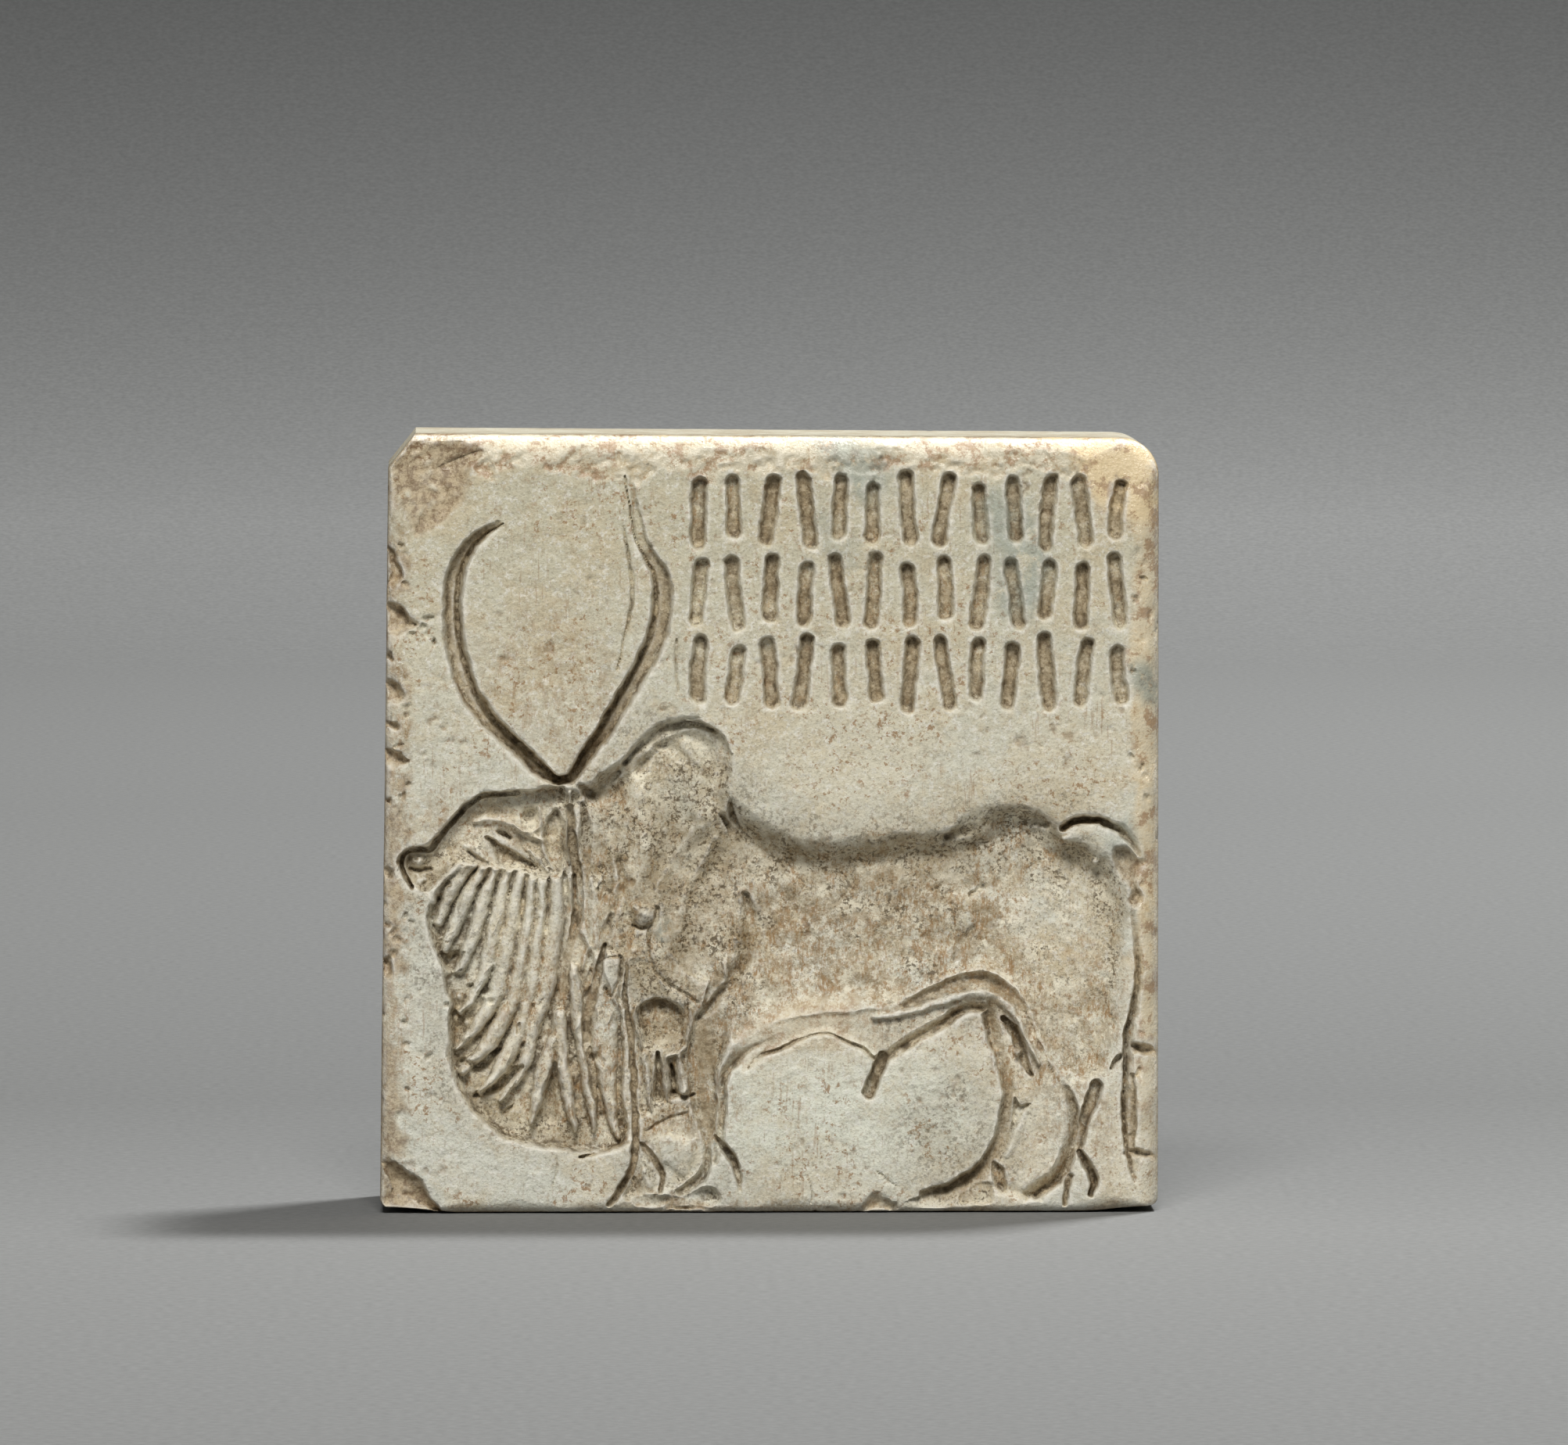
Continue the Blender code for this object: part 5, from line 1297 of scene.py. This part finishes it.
class SealSettings(bpy.types.PropertyGroup):
    """Sizes of the stone's surface"""
    triangles: IntProperty(name="Triangles", description="Triangles that the tile keeps", default=180000,
                           min=20000)
    grain_size: FloatProperty(name="Grain size", description="Width of the surface grain", default=0.0005,
                              unit="LENGTH", precision=5)
    grain_depth: FloatProperty(name="Grain depth", description="Depth of the surface grain", default=0.00002,
                               unit="LENGTH", precision=6)
    pit_spacing: FloatProperty(name="Pit spacing", description="Distance between pits where they flock",
                               default=0.0005, unit="LENGTH", precision=5)
    pit_depth: FloatProperty(name="Pit depth", description="Depth of the pits", default=0.00005,
                             unit="LENGTH", precision=6)


class SealColours(bpy.types.PropertyGroup):
    """Colours of the stone"""
    coat_warm: tint("Warm coat", "Pale kiln coat, warm cast", "#F1EAD3")
    coat_cool: tint("Cool coat", "Pale kiln coat, greenish cast", "#EBEBDB")
    body: tint("Body", "Tan stone under the coat", "#D6C39C")
    amber: tint("Amber", "Polish of the handled edges", "#E6DCC2")
    rust: tint("Rust", "Rusty flecks", "#A27C52")
    stain: tint("Stain", "Brush-like earth stains", "#AB8658")
    # Colour of the earth in the cuts, and of the painted shade in the recesses
    earth_and_shade: tint("Earth_and_shade", "Earth in the cuts", "#8A7552")
    # Colour of grime and of the painted shade in the narrow corners of the cuts
    grime_and_shade: tint("Grime_and_shade", "Black grime in sharp corners", "#42341D")


class StageSettings(bpy.types.PropertyGroup):
    """Camera and light"""
    camera_distance: FloatProperty(name="Camera distance", description="From the face to the camera",
                                   default=0.6, unit="LENGTH")
    camera_height: FloatProperty(name="Camera angle", description="Angle of the view above the level",
                                 default=np.radians(3.0), unit="ROTATION")
    camera_side: FloatProperty(name="Camera side", description="Angle of the view to the seal's left",
                               default=np.radians(1.3), unit="ROTATION")
    key_power: FloatProperty(name="Key light", description="Power of the front light from above", default=3.0,
                             unit="POWER")
    top_power: FloatProperty(name="Top light", description="Power of the light above and behind the seal",
                             default=4.4, unit="POWER")
    fill: FloatProperty(name="Fill", description="Strength of the light from all round", default=0.1)


class SEAL_OT_stone(bpy.types.Operator):
    """Carves and weathers the stone"""
    bl_idname = "seal.stone"
    bl_label = "Carve the stone"

    def execute(self, context):
        settings = context.scene.seal
        material = stone_material(context.scene.seal_colours)
        face = carved_face(FACE_CELLS)
        stone = bpy.data.objects.new("carved_stone", tile_mesh(face, face_marks(face)))
        context.scene.collection.objects.link(stone)
        weather(stone, material, settings)
        thin = stone.modifiers.new("fewer faces", "DECIMATE")
        thin.ratio = settings.triangles / sum(len(p.vertices) - 2 for p in stone.data.polygons)
        bake_modifiers(stone)
        boss = turned_boss()
        weather(boss, material, settings)
        combine(boss, cord_drill(), "DIFFERENCE")
        combine(stone, boss, "UNION")
        clear_back(stone)
        stone.data.shade_smooth()
        stone.data.set_sharp_from_angle(angle=np.radians(SHARP_ANGLE))
        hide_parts("stamp_seal")
        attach(stone, "root")
        return {"FINISHED"}


def area_light(name, power, place, aim, size, colour):
    """Soft square light at a place, turned to its aim"""
    light = bpy.data.lights.new(name, "AREA")
    light.shape = "RECTANGLE"
    light.size, light.size_y = size
    light.energy = power
    light.color = colour
    lamp = bpy.data.objects.new(name, light)
    lamp.location = place
    lamp.rotation_euler = (Vector(aim) - Vector(place)).to_track_quat("-Z", "Y").to_euler()
    bpy.context.scene.collection.objects.link(lamp)


def paper_material():
    """Matt grey backdrop paper

    Pulp rolled smooth but not glazed. To the eye it is flat grey with a fine fibre. Its colour holds painted
    light
    and shade: lighter towards the foot of its rise, dark where it rises behind the seal, and a little lighter
    to the right.
    """
    paper = Finish("matt_paper")
    low, high = FLOOR_DEPTHS
    depth = add_node(paper.tree, "ShaderNodeMapRange",
                     {"Value": paper.along["Y"], "From Min": low, "From Max": high})
    # Painted light and shade of the backdrop: lighter towards the foot of the rise, dark where the paper
    # rises
    ramp = add_node(paper.tree, "ShaderNodeValToRGB", {"Fac": depth})
    for stop in FLOOR_STOPS:
        ramp.color_ramp.elements.new(stop)
    for element, colour in zip(ramp.color_ramp.elements, FLOOR_TONES_AND_SHADE):
        element.color = linear(colour)
    fibres = add_node(paper.tree, "ShaderNodeTexNoise", {"Vector": paper.place, "Scale": 1000.0 / PAPER_FIBRE,
                                                         "Detail": 2.0, "Roughness": 0.5})
    fibres = add_node(paper.tree, "ShaderNodeMapRange", {"Value": fibres, "To Min": 0.76, "To Max": 1.24})
    # Painted light: the paper a little darker on the left and lighter on the right
    painted_light_to_right = add_node(paper.tree, "ShaderNodeMapRange", {"Value": paper.along["X"], "From Min": -0.05,
                                                        "From Max": 0.05, "To Min": 0.94, "To Max": 1.06})
    tone = add_node(paper.tree, "ShaderNodeMath", {0: fibres, 1: painted_light_to_right}, operation="MULTIPLY")
    colour = add_node(paper.tree, "ShaderNodeMix", {0: 1.0, 6: ramp, 7: tone},
                      data_type="RGBA", blend_type="MULTIPLY").outputs[2]
    paper.tree.links.new(colour, paper.shader.inputs["Base Color"])
    paper.shader.inputs["Roughness"].default_value = SHEET_ROUGHNESS
    return paper.material


def floor_sheet():
    """Sheet of matt paper that lies under the seal and curves up behind it, with painted shade where it rises
    """
    line = [(SHEET_FRONT, 0.0), (SHEET_FLAT_TO, 0.0)]
    for bend in np.linspace(0, np.pi / 2, SHEET_BEND_STEPS + 1)[1:]:
        line.append((SHEET_FLAT_TO + SHEET_RADIUS * np.sin(bend), SHEET_RADIUS - SHEET_RADIUS * np.cos(bend)))
    line.append((SHEET_FLAT_TO + SHEET_RADIUS, SHEET_RADIUS + SHEET_RISE))
    places = [(x, y, z) for y, z in line for x in (-SHEET_HALF_WIDTH, SHEET_HALF_WIDTH)]
    faces = [(2 * k, 2 * k + 1, 2 * k + 3, 2 * k + 2) for k in range(len(line) - 1)]
    mesh = bpy.data.meshes.new("floor")
    mesh.from_pydata(places, [], faces)
    mesh.shade_smooth()
    floor = bpy.data.objects.new("floor", mesh)
    bpy.context.scene.collection.objects.link(floor)
    mesh.materials.append(paper_material())


class SEAL_OT_stage(bpy.types.Operator):
    """Sets up the floor, the lights and the camera"""
    bl_idname = "seal.stage"
    bl_label = "Set the stage"

    def execute(self, context):
        stage = context.scene.seal_stage
        floor_sheet()
        area_light("key", stage.key_power, *KEY_LIGHT)
        area_light("top", stage.top_power, *TOP_LIGHT)
        world = bpy.data.worlds.new("soft room")
        world.use_nodes = True
        world.node_tree.nodes["Background"].inputs["Color"].default_value = (1.0, 1.0, 1.0, 1.0)
        world.node_tree.nodes["Background"].inputs["Strength"].default_value = stage.fill
        context.scene.world = world
        pixel = FACE_WIDTH / SEAL_WIDTH_PIXELS
        aim = Vector(((PHOTO_WIDTH / 2 - SEAL_MIDDLE_PIXEL) * pixel, FACE_Y,
                      (SEAL_FOOT_PIXEL - PHOTO_HEIGHT / 2) * pixel))
        out = Vector((-np.sin(stage.camera_side) * np.cos(stage.camera_height),
                      -np.cos(stage.camera_side) * np.cos(stage.camera_height), np.sin(stage.camera_height)))
        data = bpy.data.cameras.new("camera")
        data.sensor_fit = "HORIZONTAL"
        data.lens = data.sensor_width * stage.camera_distance / (PHOTO_WIDTH * pixel)
        data.clip_start = 0.01
        data.clip_end = 10.0
        camera = bpy.data.objects.new("camera", data)
        camera.location = aim + out * stage.camera_distance
        camera.rotation_euler = out.to_track_quat("Z", "Y").to_euler()
        context.scene.collection.objects.link(camera)
        context.scene.camera = camera
        context.scene.view_settings.view_transform = "Standard"
        return {"FINISHED"}


class SEAL_PT_panel(bpy.types.Panel):
    """Lists the seal's operators and settings"""
    bl_label = "Stamp seal"
    bl_idname = "SEAL_PT_panel"
    bl_space_type = "VIEW_3D"
    bl_region_type = "UI"
    bl_category = "Stamp seal"

    def draw(self, context):
        layout = self.layout
        for settings in (context.scene.seal, context.scene.seal_colours, context.scene.seal_stage):
            box = layout.box()
            for name in settings.bl_rna.properties.keys():
                if name not in ("rna_type", "name"):
                    box.prop(settings, name)
        layout.operator(SEAL_OT_stone.bl_idname)
        layout.operator(SEAL_OT_stage.bl_idname)


CLASSES = (SealSettings, SealColours, StageSettings, SEAL_OT_stone, SEAL_OT_stage, SEAL_PT_panel)


def register():
    """Registers the classes and their settings"""
    for item in CLASSES:
        bpy.utils.register_class(item)
    bpy.types.Scene.seal = PointerProperty(type=SealSettings)
    bpy.types.Scene.seal_colours = PointerProperty(type=SealColours)
    bpy.types.Scene.seal_stage = PointerProperty(type=StageSettings)


def unregister():
    """Takes the classes and their settings away"""
    del bpy.types.Scene.seal_stage
    del bpy.types.Scene.seal_colours
    del bpy.types.Scene.seal
    for item in reversed(CLASSES):
        bpy.utils.unregister_class(item)


def main():
    """Builds everything in order"""
    register()
    bpy.ops.seal.stone()
    bpy.ops.seal.stage()
    bpy.context.view_layer.update()


if __name__ == "__main__":
    main()
